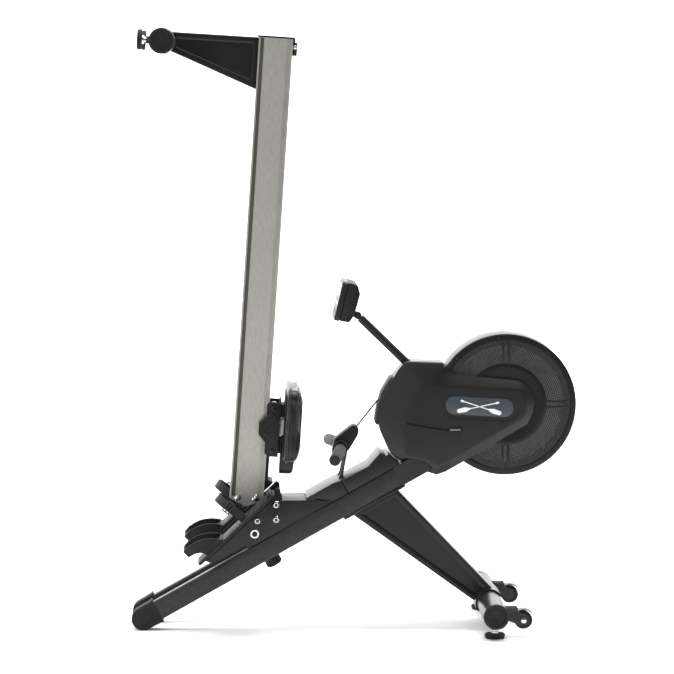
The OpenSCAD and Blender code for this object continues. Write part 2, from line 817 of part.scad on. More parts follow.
// ---- mast and console ----
hinge = console_c + hinge_x * [cos(console_tilt), -sin(console_tilt)]
    + hinge_z * [sin(console_tilt), cos(console_tilt)];
mast_foot = fan_c + [-250, 78];
mast_dir = unit(mast_foot - hinge);
module mast_line() {
    at(hinge) rotate([0, atan2(mast_dir[0], mast_dir[1]), 0]) children();
}
hinge_pin_r = 4;
boss_half = 11;
module mast() {
    color([0.05, 0.05, 0.055]) {
        mast_line() difference() {
            translate([0, 0, 11]) cylinder(r = mast_r, h = norm(mast_foot - hinge) + 20);
            translate([0, 0, 24]) cylinder(r = mast_r - 2, h = norm(mast_foot - hinge) + 40);
        }
        at(hinge) rod_y(11.5, -boss_half, boss_half);
        at(hinge) rod_y(hinge_pin_r, -19, 19);
    }
    // Foot that bolts the mast between the fan mounts
    color([0.3, 0.3, 0.32]) at(mast_foot) translate([-10, -beam_out, -12]) cube([44, 2 * beam_out, 20]);
}
bezel_t = 16;
console_profile = [
    [bezel_t, 0], [47, 3.6], [54, 20], [57.6, 46.8], [59.6, 94.9], [47, 119], [35, console_h], [bezel_t, console_h]
];
module console_front() {
    half = console_w / 2;
    r = 12;
    color([0.06, 0.06, 0.065]) console_frame() difference() {
        rotate([90, 0, 90]) linear_extrude(bezel_t - 0.2) {
            translate([-half + r, 0]) square([console_w - 2 * r, console_h]);
            translate([-half, r]) square([console_w, console_h - 2 * r]);
            for (y = [-half + r, half - r]) for (z = [r, console_h - r]) translate([y, z]) circle(r);
        }
        translate([3, -half + 3, 3]) cube([bezel_t, console_w - 6, console_h - 6]);
        translate([-1, -62, 46]) cube([3, 124, 62]);
        for (y = [-30, 30]) translate([-1, y, 24]) rotate([0, 90, 0]) cylinder(r = button_r + 0.3, h = 6);
    }
}
button_r = 9;
module button(y) {
    color([0.5, 0.52, 0.55]) console_frame() translate([0, y, 24]) rotate([0, 90, 0]) {
        translate([0, 0, -2]) cylinder(r = button_r, h = 6);
        translate([0, 0, 3.3]) cylinder(r = button_r + 2.5, h = 2);
    }
}
module button_left() { button(-30); }
module button_right() { button(30); }
module console_screen() {
    color([0.12, 0.14, 0.15]) console_frame()
        translate([0.3, -62 + seat_gap, 46 + seat_gap]) cube([1.6, 124 - 2 * seat_gap, 62 - 2 * seat_gap]);
}
module console_back() {
    half = console_w / 2;
    color([0.09, 0.09, 0.095]) console_frame() {
        difference() {
            across(-half + 1, half - 1) polygon(console_profile);
            across(-half + 4, half - 4) polygon([
                [bezel_t - 1, 3], [45, 6.6], [51, 21], [54.6, 47], [56.6, 94], [45, 116], [34, console_h - 3],
                [bezel_t - 1, console_h - 3]
            ]);
        }
        both_sides() difference() {
            across(-boss_half - slide_gap - 5, -boss_half - slide_gap) {
                link([hinge_x, hinge_z], [50, hinge_z + 4], 9);
            }
            translate([hinge_x, 0, hinge_z]) rod_y(hinge_pin_r + run_fit, -30, 30);
            across(-30, 0) polygon([
                [0, 0], [44, 0], [53.8, 20], [57.4, 46.8], [0, 60]
            ]);
        }
    }
}

// ---- rail ----
rail_start = -27.5;
module rail_section() {
    difference() {
        translate([rail_under, -rail_half]) square([rail_h, rail_w]);
        difference() {
            translate([rail_under + rail_wall, -rail_half + rail_wall])
                square([rail_h - 2 * rail_wall, rail_w - 2 * rail_wall]);
            // Metal behind each groove
            for (x = [groove_mid, 2 * rail_mid - groove_mid]) for (y = [-rail_half, rail_half - groove_d - 2])
                translate([x - groove_w / 2 - 2, y]) square([groove_w + 4, groove_d + 2]);
        }
        for (x = [groove_mid, 2 * rail_mid - groove_mid]) for (y = [-rail_half - 1, rail_half - groove_d])
            translate([x - groove_w / 2, y]) square([groove_w, groove_d + 1]);
    }
}
module rail() {
    tip = rail_start;
    color([0.62, 0.61, 0.57]) rail_frame() difference() {
        intersection() {
            translate([0, 0, tip]) linear_extrude(rail_len - tip) rail_section();
            across(-rail_half - 1, rail_half + 1) polygon([
                [rail_under, -3], [rail_under + 11.4, -11], [rail_mid, tip], [rail_top - 11.4, -11],
                [rail_top, -3], [rail_top, rail_len], [rail_under, rail_len]
            ]);
        }
        rod_y(pivot_r + run_fit, -50, 50);
        translate([2 * rail_mid, 0, 0]) rod_y(clamp_r, -50, 50);
    }
}
clamp_r = 6;
insert_out = rail_half - rail_wall - seat_gap;
module rail_fittings() {
    color([0.07, 0.07, 0.07]) rail_frame() {
        // Steel cheeks inside the lower end
        both_sides() difference() {
            translate([rail_under + 10, -insert_out, -6]) cube([rail_h - 26, 4, 76]);
            rod_y(pivot_r + run_fit, -50, 50);
            translate([2 * rail_mid, 0, 0]) rod_y(clamp_r, -50, 50);
            // Clear of the metal behind the grooves
            for (x = [groove_mid, 2 * rail_mid - groove_mid])
                translate([x - groove_w / 2 - 2.5, -40, -10]) cube([groove_w + 5, 12.5, 90]);
        }
        // End cap
        translate([rail_under - 5, -rail_half - 2, rail_len + seat_gap]) cube([rail_h + 10, rail_w + 4, 5]);
        // End stop for the seat
        translate([rail_top + 0.1, -20, rail_len - 50]) cube([14, 40, 40]);
        translate([rail_top + 0.1, -26, rail_len - 10]) cube([7, 52, 12]);
        // Buffer strip that the folded seat rests on
        translate([rail_top + 0.1, -14, 30]) cube([10, 28, truck_lo - 30.5]);
    }
}
module rail_bolts() {
    color("silver") rail_frame() {
        translate([2 * rail_mid, 0, 0]) {
            rod_y(clamp_r - 0.1, -rail_half - 0.1, rail_half + 0.1);
            both_sides() head_y(10, 5.5, -rail_half - 0.1);
        }
        translate([rail_top + 7, 0, rail_len - 24]) both_sides() head_y(6, 4, -20);
    }
}
rear_half = 28;
module rear_leg() {
    near_x = rail_under - seat_gap;
    far_x = rear_tube_x + 24;
    shape = [[near_x, rail_len - 1], [far_x, rail_len - 2], [far_x - 4, rail_len - 59], [near_x, rail_len - 157]];
    color([0.05, 0.05, 0.055]) rail_frame() difference() {
        across(-rear_half, rear_half) polygon(shape);
        across(-rear_half + leg_t, rear_half - leg_t) polygon(inset(shape, leg_t));
        translate([rear_tube_x, 0, rear_tube_z]) rod_y(stand_r + seat_gap, -60, 60);
    }
}
module rear_frame() { rail_frame() translate([rear_tube_x, 0, rear_tube_z]) rotate([0, 90, 0]) children(); }
module rear_tube() { color([0.05, 0.05, 0.055]) rear_frame() stand_tube(); }
module rear_foot_near() { color([0.1, 0.1, 0.1]) rear_frame() translate([0, -foot_y, 0]) level_foot(); }
module rear_foot_far() { far_side() rear_foot_near(); }

// ---- seat ----
seat_pin_r = 5;
roller_lo = 150;
roller_hi = 276;
truck_top = rail_top + 34;
module seat_truck() {
    plate = [
        [-1, truck_hi], [-8, truck_hi - 9], [-7, truck_hi - 42], [-28.5, truck_hi - 63], [-28.5, truck_lo + 66],
        [-7, truck_lo + 42], [-7, truck_lo + 9], [4, truck_lo], [34, truck_lo], [34, truck_hi]
    ];
    color([0.09, 0.09, 0.09]) rail_frame() {
        both_sides() difference() {
            across(-truck_in - truck_t, -truck_in) polygon([for (p = plate) p + [rail_top, 0]]);
            for (z = [roller_lo, roller_hi]) translate([roller_x, 0, z])
                rod_y(seat_pin_r + run_fit, -80, 0);
        }
        translate([truck_top - 4, -truck_in + seat_gap, truck_lo + 2])
            cube([4, 2 * truck_in - 2 * seat_gap, truck_hi - truck_lo + 12]);
        // Guide studs that run in the rail's grooves
        both_sides() translate([groove_mid, 0, 214]) {
            rod_y(groove_w / 2 - 0.5, -truck_in + seat_gap, -rail_half + groove_d - 1);
        }
    }
    color([0.8, 0.8, 0.8]) rail_frame() for (z = [165, 222, 262])
        translate([truck_top + seat_gap, -42, z - 14]) cube([pad_h, 84, 28]);
}
module seat_pan() {
    color([0.07, 0.07, 0.07]) rail_frame()
        translate([truck_top + pad_h + 0.2, -92, truck_lo + 4]) cube([4, 184, 190]);
}
module seat_cushion() {
    x0 = truck_top + pad_h + 4.4;
    half = seat_w / 2;
    r = 30;
    color([0.07, 0.07, 0.075]) rail_frame() translate([x0, 0, 0]) rotate([90, 0, 90]) {
        linear_extrude(seat_t) {
            translate([-half + r, seat_lo]) square([seat_w - 2 * r, seat_hi - seat_lo]);
            translate([-half, seat_lo + r]) square([seat_w, seat_hi - seat_lo - 2 * r]);
            for (x = [-half + r, half - r]) for (y = [seat_lo + r, seat_hi - r])
                translate([x, y]) circle(r);
        }
        // Nose between the thighs
        translate([0, 0, 8]) linear_extrude(seat_t - 14) {
            translate([-nose_r, seat_lo - nose_len + nose_r]) square([2 * nose_r, nose_len - nose_r + 1]);
            translate([0, seat_lo - nose_len + nose_r]) circle(nose_r);
        }
    }
}
module seat_roller(z) {
    rail_frame() translate([roller_x, 0, z]) {
        rod_y(seat_pin_r, -truck_in - truck_t - 2, truck_in + truck_t + 2);
        both_sides() head_y(8, 4, -truck_in - truck_t - 0.4);
        both_sides() difference() {
            rod_y(roller_r, -30, -10);
            ring_y(roller_r - 3, 8, -31, -27);
        }
    }
}
module seat_roller_upper() { color([0.75, 0.75, 0.75]) seat_roller(roller_hi); }
module seat_roller_lower() { color([0.75, 0.75, 0.75]) seat_roller(roller_lo); }

main_beam_near();
main_beam_far();
beam_cap_near();
beam_cap_far();
gusset_near();
gusset_far();
frame_bolts();
fold_bracket();
pivot_axle();
lock_pin();
neck_covers();
handle_fork();
front_leg();
front_tube();
wheel_brackets();
wheel_near();
wheel_far();
front_foot_near();
front_foot_far();
foot_plates();
heel_cup_near();
heel_cup_far();
foot_straps();
strap_buckles();
fan_drum();
fan_grille_near();
fan_grille_far();
fan_mounts();
fan_axle();
fan_wheel();
fan_bearings();
small_pulley();
strap_spool();
drive_belt();
shroud_near();
shroud_far();
front_panel();
badges();
shroud_screws();
handle_bar();
handle_grips();
pull_strap();
mast();
console_front();
console_back();
console_screen();
button_left();
button_right();
rail();
rail_fittings();
rail_bolts();
rear_leg();
rear_tube();
rear_foot_near();
rear_foot_far();
seat_truck();
seat_pan();
seat_cushion();
seat_roller_upper();
seat_roller_lower();
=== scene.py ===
# %% [markdown]
# # A folding rowing machine, dressed over its engineering model
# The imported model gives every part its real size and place, and every joint its axis. This script keeps
# that model as a fixed frame and builds what the eye sees around it: painted steel, moulded plastic, a
# perforated fan cage, a vinyl seat and foam grips. Each step says what the piece is on the real machine and
# why it is made the way it is.

# %% Load the frame
import json
import math

import bmesh
import bpy
from mathutils import Matrix, Vector


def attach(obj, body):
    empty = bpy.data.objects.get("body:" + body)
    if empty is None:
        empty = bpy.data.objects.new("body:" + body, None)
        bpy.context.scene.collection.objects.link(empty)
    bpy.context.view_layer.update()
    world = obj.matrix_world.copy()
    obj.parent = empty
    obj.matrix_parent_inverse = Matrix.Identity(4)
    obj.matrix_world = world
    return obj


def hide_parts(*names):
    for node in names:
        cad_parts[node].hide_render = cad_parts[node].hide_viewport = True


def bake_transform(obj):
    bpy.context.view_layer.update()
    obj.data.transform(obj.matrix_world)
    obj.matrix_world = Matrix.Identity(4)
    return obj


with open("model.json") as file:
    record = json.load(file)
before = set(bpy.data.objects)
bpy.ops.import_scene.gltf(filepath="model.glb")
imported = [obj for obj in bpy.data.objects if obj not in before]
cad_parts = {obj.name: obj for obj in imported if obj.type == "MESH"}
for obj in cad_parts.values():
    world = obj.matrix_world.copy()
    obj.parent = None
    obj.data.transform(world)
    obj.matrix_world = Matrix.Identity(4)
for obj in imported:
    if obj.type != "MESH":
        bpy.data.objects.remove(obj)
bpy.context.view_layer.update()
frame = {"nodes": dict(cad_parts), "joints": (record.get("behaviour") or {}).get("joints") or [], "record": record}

record = frame["record"]
joints = {j["name"]: j for j in frame["joints"]}
nodes = frame["nodes"]
MM = 0.001

# %% [markdown]
# ## Working frames
# A rower is a set of straight members at odd angles: two beams at 29 degrees, a rail that leans, foot
# plates at 43 degrees. A piece is easy to draw in its member's own frame and hard to draw in the room's. So
# each member gets a matrix, taken from the joints: the lock pin slides square to the beams, the seat slides
# along the rail, and the heel cup slides along the foot plate. In each frame X and Z lie in the machine's
# side plane, and Y runs across the machine.

# %% Frames of the members
def frame_at(origin, x_axis):
    x = Vector(x_axis).normalized()
    z = Vector((-x.z, 0, x.x))
    rows = Matrix((x, (0, 1, 0), z)).transposed().to_4x4()
    return Matrix.Translation(origin) @ rows


def joint_at(name):
    return Vector(joints[name]["pos_m"])


pivot = joint_at("rail_fold")
fan_centre = joint_at("fan_spin")
pin_axis = Vector(joints["lock_pin_pull"]["axis"])
beam_dir = Vector((-pin_axis.z, 0, pin_axis.x))
rail_dir = Vector(joints["seat_slide"]["axis"])
foot_dir = Vector(joints["heel_cup_near_slide"]["axis"])
press = Vector(joints["button_left_press"]["axis"])

# Distance from the pivot back to the beams' floor end, along and square to a beam
PIVOT_S, PIVOT_N = 0.474, 0.148
beam_up = -pin_axis
beam_origin = pivot - beam_dir * PIVOT_S - beam_up * PIVOT_N
BEAM = frame_at(beam_origin, beam_dir)
RAIL = frame_at(pivot, (rail_dir.z, 0, -rail_dir.x))
FOOT = frame_at(BEAM @ Vector((0.2393, 0, 0.0736)), foot_dir)
CONSOLE_HINGE = joint_at("console_tilt")
CONSOLE = frame_at(CONSOLE_HINGE - press * 0.072 - Vector((-press.z, 0, press.x)) * 0.025, press)
FAN = Matrix.Translation(fan_centre)
print("pivot", tuple(round(c, 4) for c in pivot), "fan", tuple(round(c, 4) for c in fan_centre))

# %% [markdown]
# ## Camera
# The machine is seen square from its side through a long lens, from about eye height and nearly nine metres
# away, so its lines hardly converge. The camera comes first, because everything else is judged through it.

# %% Camera
camera_data = bpy.data.cameras.new("camera")
camera = bpy.data.objects.new("camera", camera_data)
bpy.context.scene.collection.objects.link(camera)
EYE = (-0.403, -8.897, 1.726)
LENS_MM, SENSOR_MM, FAR_END = 158.0, 36.0, 60
CAMERA_YAW, CAMERA_PITCH = math.radians(2.28), math.radians(-5.43)
camera_data.sensor_width = SENSOR_MM
camera_data.lens = LENS_MM
camera_data.clip_end = FAR_END
camera.location = EYE
camera.rotation_euler = (math.pi / 2 + CAMERA_PITCH, 0, -CAMERA_YAW)
bpy.context.scene.camera = camera

# %% [markdown]
# ## Studio
# The room is a white sweep: a floor that curves up into a wall, so that no horizon shows. The wall stands
# far enough back for a camera to walk round behind the machine. A black, glossy object is lit by what it
# mirrors. A broad light overhead draws the bright line along every top edge, and a weaker one in front
# keeps the sides dark but readable.

# %% Floor and lights
def sweep(depth_front=12.0, depth_back=9.0, height=8.0, width=30.0, bend=2.2, steps=10):
    bm = bmesh.new()
    row = [bm.verts.new((-width / 2, -depth_front, 0))]
    row.append(bm.verts.new((-width / 2, depth_back, 0)))
    for i in range(1, steps + 1):
        a = i / steps * math.pi / 2
        row.append(bm.verts.new((-width / 2, depth_back + bend * math.sin(a), bend * (1 - math.cos(a)))))
    row.append(bm.verts.new((-width / 2, depth_back + bend, height)))
    edges = [bm.edges.new(pair) for pair in zip(row, row[1:])]
    grown = bmesh.ops.extrude_edge_only(bm, edges=edges)["geom"]
    bmesh.ops.translate(bm, verts=[v for v in grown if isinstance(v, bmesh.types.BMVert)], vec=(width, 0, 0))
    bmesh.ops.recalc_face_normals(bm, faces=bm.faces)
    mesh = bpy.data.meshes.new("studio_sweep")
    bm.to_mesh(mesh)
    bm.free()
    for p in mesh.polygons:
        p.use_smooth = True
    return bpy.data.objects.new("studio_sweep", mesh)


floor = sweep()
bpy.context.scene.collection.objects.link(floor)
pale = bpy.data.materials.new("studio_white")
pale.use_nodes = True
matt = pale.node_tree.nodes["Principled BSDF"].inputs
matt["Base Color"].default_value = (0.93, 0.93, 0.93, 1)
matt["Roughness"].default_value = 0.85
floor.data.materials.append(pale)


def softbox(name, place, aim, size, power):
    data = bpy.data.lights.new(name, "AREA")
    data.shape = "RECTANGLE"
    data.size, data.size_y = size
    data.energy = power
    lamp = bpy.data.objects.new(name, data)
    lamp.location = place
    lamp.rotation_euler = (Vector(aim) - Vector(place)).to_track_quat("-Z", "Y").to_euler()
    bpy.context.scene.collection.objects.link(lamp)
    return lamp


softbox("overhead", (0.2, 0.3, 5.2), (0, 0, 0.6), (6.0, 5.0), 250)
softbox("top_strip", (0, 0.1, 4.8), (0, 0, 0.6), (6.0, 0.4), 230)
softbox("front_fill", (-3.3, -6.5, 2.6), (0, 0, 0.8), (1.4, 1.6), 90)
softbox("back_wash", (0, 7.2, 5.0), (0, 10.5, 1.5), (10.0, 1.5), 700)
softbox("floor_wash", (0, 5.6, 5.4), (0, 5.8, 0), (9.0, 3.0), 420)
softbox("left_rim", (-4.6, 1.4, 2.4), (0, 0, 1.0), (1.6, 3.4), 150)
softbox("right_rim", (4.6, 1.2, 2.2), (0, 0, 0.8), (1.6, 3.0), 130)
world = bpy.data.worlds.new("studio_air")
bpy.context.scene.world = world
world.use_nodes = True
air = world.node_tree.nodes["Background"].inputs
air["Color"].default_value = (1, 1, 1, 1)
air["Strength"].default_value = 0.2
bpy.context.scene.view_settings.view_transform = "Standard"

# %% [markdown]
# ## Tools for making pieces
# Nearly every piece here is one of three things. A slab is an outline in the side plane, extruded across
# the machine: plates, legs, covers. A turned piece is a half profile, spun about an axis: tubes, feet,
# wheels. A rib or strap is a small block, bevelled. Each tool starts from a few vertices and lets bmesh
# operators do the rest, and each rounds its edges, because a real edge always catches a line of light. A
# piece is drawn in its member's frame and then moved as a mesh, so its object stays at the origin.

# %% Slab, turned piece and block
CROSS = Matrix(((1, 0, 0, 0), (0, 0, 1, 0), (0, 1, 0, 0), (0, 0, 0, 1)))


def fresh(bm, before):
    return [v for v in bm.verts if v not in before]


def bevel(bm, edges, width, segments=3):
    bmesh.ops.bevel(bm, geom=edges, offset=width, segments=segments, profile=0.5, affect="EDGES",
                    material=-1, clamp_overlap=True)


def slab(bm, outline, y0, y1, corner=0.0, edge=0.0, segments=3, place=None):
    """outline is [(x, z)]; corner rounds the outline, edge rounds the rims of the two faces."""
    before = set(bm.verts)
    face = bm.faces.new([bm.verts.new((x, y0, z)) for x, z in outline])
    grown = bmesh.ops.extrude_face_region(bm, geom=[face])["geom"]
    bmesh.ops.translate(bm, verts=[v for v in grown if isinstance(v, bmesh.types.BMVert)],
                        vec=(0, y1 - y0, 0))
    new = set(fresh(bm, before))
    if corner:
        upright = [e
                   for e in bm.edges if e.verts[0] in new and abs(e.verts[0].co.y - e.verts[1].co.y) > 1e-6]
        bevel(bm, upright, corner, 5)
    bmesh.ops.recalc_face_normals(bm, faces=[f for f in bm.faces if f.verts[0] not in before])
    if edge:
        new = set(fresh(bm, before))
        rims = [e for e in bm.edges if e.verts[0] in new and abs(e.verts[0].co.y - e.verts[1].co.y) < 1e-6
                and any(abs(f.normal.y) > 0.99 for f in e.link_faces) and not all(
                    abs(f.normal.y) > 0.99 for f in e.link_faces)]
        bevel(bm, rims, edge, segments)
    if place is not None:
        bmesh.ops.transform(bm, matrix=place, verts=fresh(bm, before))
    return fresh(bm, before)


def turned(bm, profile, place=None, steps=64):
    """profile is [(y, r)], spun about Y; a profile that starts and ends at r = 0 gives a closed solid."""
    before = set(bm.verts)
    row = [bm.verts.new((r, y, 0)) for y, r in profile]
    edges = [bm.edges.new(pair) for pair in zip(row, row[1:])]
    if profile[0][1] > 0 and profile[-1][1] > 0:
        edges.append(bm.edges.new((row[-1], row[0])))
    bmesh.ops.spin(bm, geom=row + edges, cent=(0, 0, 0), axis=(0, 1, 0), angle=2 * math.pi, steps=steps,
                   use_merge=True, use_normal_flip=False, use_duplicate=False)
    bmesh.ops.remove_doubles(bm, verts=fresh(bm, before), dist=1e-6)
    if place is not None:
        bmesh.ops.transform(bm, matrix=place, verts=fresh(bm, before))
    return fresh(bm, before)


def block(bm, low, high, edge=0.001, segments=2, place=None):
    before = set(bm.verts)
    low, high = Vector(low), Vector(high)
    middle = Matrix.Translation((low + high) / 2) @ Matrix.Diagonal((*(high - low), 1))
    bmesh.ops.create_cube(bm, size=1, matrix=middle)
    if edge:
        new = set(fresh(bm, before))
        bevel(bm, [e for e in bm.edges if e.verts[0] in new], edge, segments)
    if place is not None:
        bmesh.ops.transform(bm, matrix=place, verts=fresh(bm, before))
    return fresh(bm, before)


def hose(bm, path, radius, sides=12, flat=1.0):
    """A ring carried along a path of points, turned at each to face the way on."""
    before = set(bm.verts)
    path = [Vector(p) for p in path]
    ring = None
    for i, point in enumerate(path):
        ahead = (path[min(i + 1, len(path) - 1)] - path[max(i - 1, 0)]).normalized()
        side = Vector((0, 1, 0)) if abs(ahead.y) < 0.9 else Vector((0, 0, 1))
        across = ahead.cross(side).normalized()
        side = across.cross(ahead).normalized()
        pose = Matrix((side, across * flat, ahead)).transposed().to_4x4()
        made = bmesh.ops.create_circle(bm, cap_ends=i in (0, len(path) - 1), segments=sides, radius=radius,
                                       matrix=Matrix.Translation(point) @ pose)["verts"]
        loop = [e for e in {e for v in made for e in v.link_edges} if all(v in made for v in e.verts)]
        if ring:
            bmesh.ops.bridge_loops(bm, edges=ring + loop)
        ring = loop
    return fresh(bm, before)


def mirror_y(bm, verts=None):
    """Adds the far side's copy of what is in bm."""
    old = list(bm.verts) if verts is None else list(verts)
    geom = old + [f for f in bm.faces if f.verts[0] in set(old)]
    geom += [e for e in bm.edges if e.verts[0] in set(old)]
    copy = bmesh.ops.duplicate(bm, geom=geom)["geom"]
    bmesh.ops.scale(bm, vec=(1, -1, 1), verts=[v for v in copy if isinstance(v, bmesh.types.BMVert)])
    bmesh.ops.reverse_faces(bm, faces=[f for f in copy if isinstance(f, bmesh.types.BMFace)])


def piece(name, bm, material, body, replaced=(), place=None, soft=32, normals=True):
    if place is not None:
        bmesh.ops.transform(bm, matrix=place, verts=bm.verts)
    if normals:
        bmesh.ops.recalc_face_normals(bm, faces=bm.faces)
    mesh = bpy.data.meshes.new(name)
    bm.to_mesh(mesh)
    bm.free()
    mesh.shade_smooth()
    mesh.set_sharp_from_angle(angle=math.radians(soft))
    obj = bpy.data.objects.new(name, mesh)
    bpy.context.scene.collection.objects.link(obj)
    mesh.materials.append(material)
    if body:
        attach(obj, body)
    if replaced:
        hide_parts(*replaced)
    print(name, len(mesh.polygons), "faces")
    return obj


def applied(obj):
    """Bakes an object's modifiers into its mesh."""
    deps = bpy.context.evaluated_depsgraph_get()
    mesh = bpy.data.meshes.new_from_object(obj.evaluated_get(deps))
    obj.modifiers.clear()
    obj.data = mesh
    return obj


def minus(bm, cutter):
    """bm with the solid of cutter taken away, by the exact Boolean modifier."""
    pair = []
    for name, source in (("cut_body", bm), ("cutter", cutter)):
        bmesh.ops.recalc_face_normals(source, faces=source.faces)
        mesh = bpy.data.meshes.new(name)
        source.to_mesh(mesh)
        source.free()
        obj = bpy.data.objects.new(name, mesh)
        bpy.context.scene.collection.objects.link(obj)
        pair.append(obj)
    body, tool = pair
    mod = body.modifiers.new("cut", "BOOLEAN")
    mod.operation, mod.solver, mod.object = "DIFFERENCE", "EXACT", tool
    applied(body)
    out = bmesh.new()
    out.from_mesh(body.data)
    bmesh.ops.remove_doubles(out, verts=out.verts, dist=2e-6)
    for obj in pair:
        bpy.data.objects.remove(obj)
    return out


def in_frame(frame_matrix, s, n):
    p = frame_matrix @ Vector((s, 0, n))
    return p.x, p.z

# %% [markdown]
# ## Effects shared by the finishes
# Moulded plastic, powder paint, rubber and vinyl differ in colour and gloss, but share three effects: a
# fine grain, a slow change of tone, and bright edges: worn on most finishes, and a painted highlight along
# the rail's edges. Each effect is built once as a node group and placed in every material with its own
# numbers. All read Object coordinates in metres, so a scale of 400 makes a grain of about 2.5 mm on every
# piece, whatever its size.

# %% Node groups
def group(name, inputs, outputs):
    tree = bpy.data.node_groups.new(name, "ShaderNodeTree")
    for label, kind, value in inputs:
        socket = tree.interface.new_socket(name=label, in_out="INPUT", socket_type="NodeSocket" + kind)
        socket.default_value = value
    for label, kind in outputs:
        tree.interface.new_socket(name=label, in_out="OUTPUT", socket_type="NodeSocket" + kind)
    return tree, tree.nodes.new("NodeGroupInput"), tree.nodes.new("NodeGroupOutput")


def node(tree, kind, **values):
    made = tree.nodes.new("ShaderNode" + kind)
    for key, value in values.items():
        setattr(made, key, value)
    return made


def math_node(tree, operation, a, b):
    made = node(tree, "Math", operation=operation)
    for socket, value in zip(made.inputs, (a, b)):
        if isinstance(value, (int, float)):
            socket.default_value = value
        else:
            tree.links.new(value, socket)
    return made.outputs[0]


def build_grain():
    """Pebbled skin of moulded plastic, rubber or vinyl, with a roughness that follows it."""
    tree, gin, gout = group("pebble_grain", [
        ("Vector", "Vector", (0, 0, 0)), ("Scale", "Float", 400.0), ("Rough Low", "Float", 0.4),
        ("Rough High", "Float", 0.5)], [("Height", "Float"), ("Roughness", "Float")])
    cells = node(tree, "TexVoronoi", feature="SMOOTH_F1")
    fine = node(tree, "TexNoise")
    fine.inputs["Detail"].default_value = 4
    ramp = node(tree, "MapRange")
    for tex in (cells, fine):
        tree.links.new(gin.outputs["Vector"], tex.inputs["Vector"])
    tree.links.new(gin.outputs["Scale"], cells.inputs["Scale"])
    tree.links.new(math_node(tree, "MULTIPLY", gin.outputs["Scale"], 0.35), fine.inputs["Scale"])
    height = math_node(tree, "ADD", cells.outputs["Distance"],
                       math_node(tree, "MULTIPLY", fine.outputs["Fac"], 0.5))
    tree.links.new(fine.outputs["Fac"], ramp.inputs["Value"])
    ramp.inputs["From Min"].default_value, ramp.inputs["From Max"].default_value = 0.3, 0.7
    tree.links.new(gin.outputs["Rough Low"], ramp.inputs["To Min"])
    tree.links.new(gin.outputs["Rough High"], ramp.inputs["To Max"])
    tree.links.new(height, gout.inputs["Height"])
    tree.links.new(ramp.outputs["Result"], gout.inputs["Roughness"])
    return tree


def build_tone():
    """Slow change between two tones, broken up by fine specks of dust."""
    tree, gin, gout = group("slow_tone", [
        ("Vector", "Vector", (0, 0, 0)), ("Scale", "Float", 9.0), ("Tone A", "Color", (0, 0, 0, 1)),
        ("Tone B", "Color", (0.1, 0.1, 0.1, 1)), ("Dust", "Float", 0.05)], [("Color", "Color")])
    slow, speck = node(tree, "TexNoise"), node(tree, "TexNoise")
    slow.inputs["Detail"].default_value = 3
    speck.inputs["Scale"].default_value = 900
    tree.links.new(gin.outputs["Vector"], slow.inputs["Vector"])
    tree.links.new(gin.outputs["Vector"], speck.inputs["Vector"])
    tree.links.new(gin.outputs["Scale"], slow.inputs["Scale"])
    mix, dusty = node(tree, "Mix", data_type="RGBA"), node(tree, "Mix", data_type="RGBA")
    tree.links.new(slow.outputs["Fac"], mix.inputs["Factor"])
    tree.links.new(gin.outputs["Tone A"], mix.inputs[6])
    tree.links.new(gin.outputs["Tone B"], mix.inputs[7])
    hits = node(tree, "MapRange")
    hits.inputs["From Min"].default_value, hits.inputs["From Max"].default_value = 0.68, 0.8
    tree.links.new(speck.outputs["Fac"], hits.inputs["Value"])
    tree.links.new(math_node(tree, "MULTIPLY", hits.outputs["Result"], gin.outputs["Dust"]),
                   dusty.inputs["Factor"])
    tree.links.new(mix.outputs[2], dusty.inputs[6])
    dusty.inputs[7].default_value = (0.5, 0.48, 0.45, 1)
    tree.links.new(dusty.outputs[2], gout.inputs["Color"])
    return tree


def build_wear_and_highlight():
    """Lightens edges: rubbed finish on most materials, and a painted highlight along the rail's edges."""
    tree, gin, gout = group("edge_wear_and_highlight", [
        ("Color", "Color", (0, 0, 0, 1)), ("Worn", "Color", (0.2, 0.2, 0.2, 1)), ("Amount", "Float", 0.3)],
        [("Color", "Color")])
    edge, breakup = node(tree, "NewGeometry"), node(tree, "TexNoise")
    breakup.inputs["Scale"].default_value = 60
    sharp = node(tree, "MapRange")
    sharp.inputs["From Min"].default_value, sharp.inputs["From Max"].default_value = 0.51, 0.6
    tree.links.new(edge.outputs["Pointiness"], sharp.inputs["Value"])
    mask = math_node(tree, "MULTIPLY", sharp.outputs["Result"], breakup.outputs["Fac"])
    mix = node(tree, "Mix", data_type="RGBA")
    tree.links.new(math_node(tree, "MULTIPLY", mask, gin.outputs["Amount"]), mix.inputs["Factor"])
    tree.links.new(gin.outputs["Color"], mix.inputs[6])
    tree.links.new(gin.outputs["Worn"], mix.inputs[7])
    tree.links.new(mix.outputs[2], gout.inputs["Color"])
    return tree


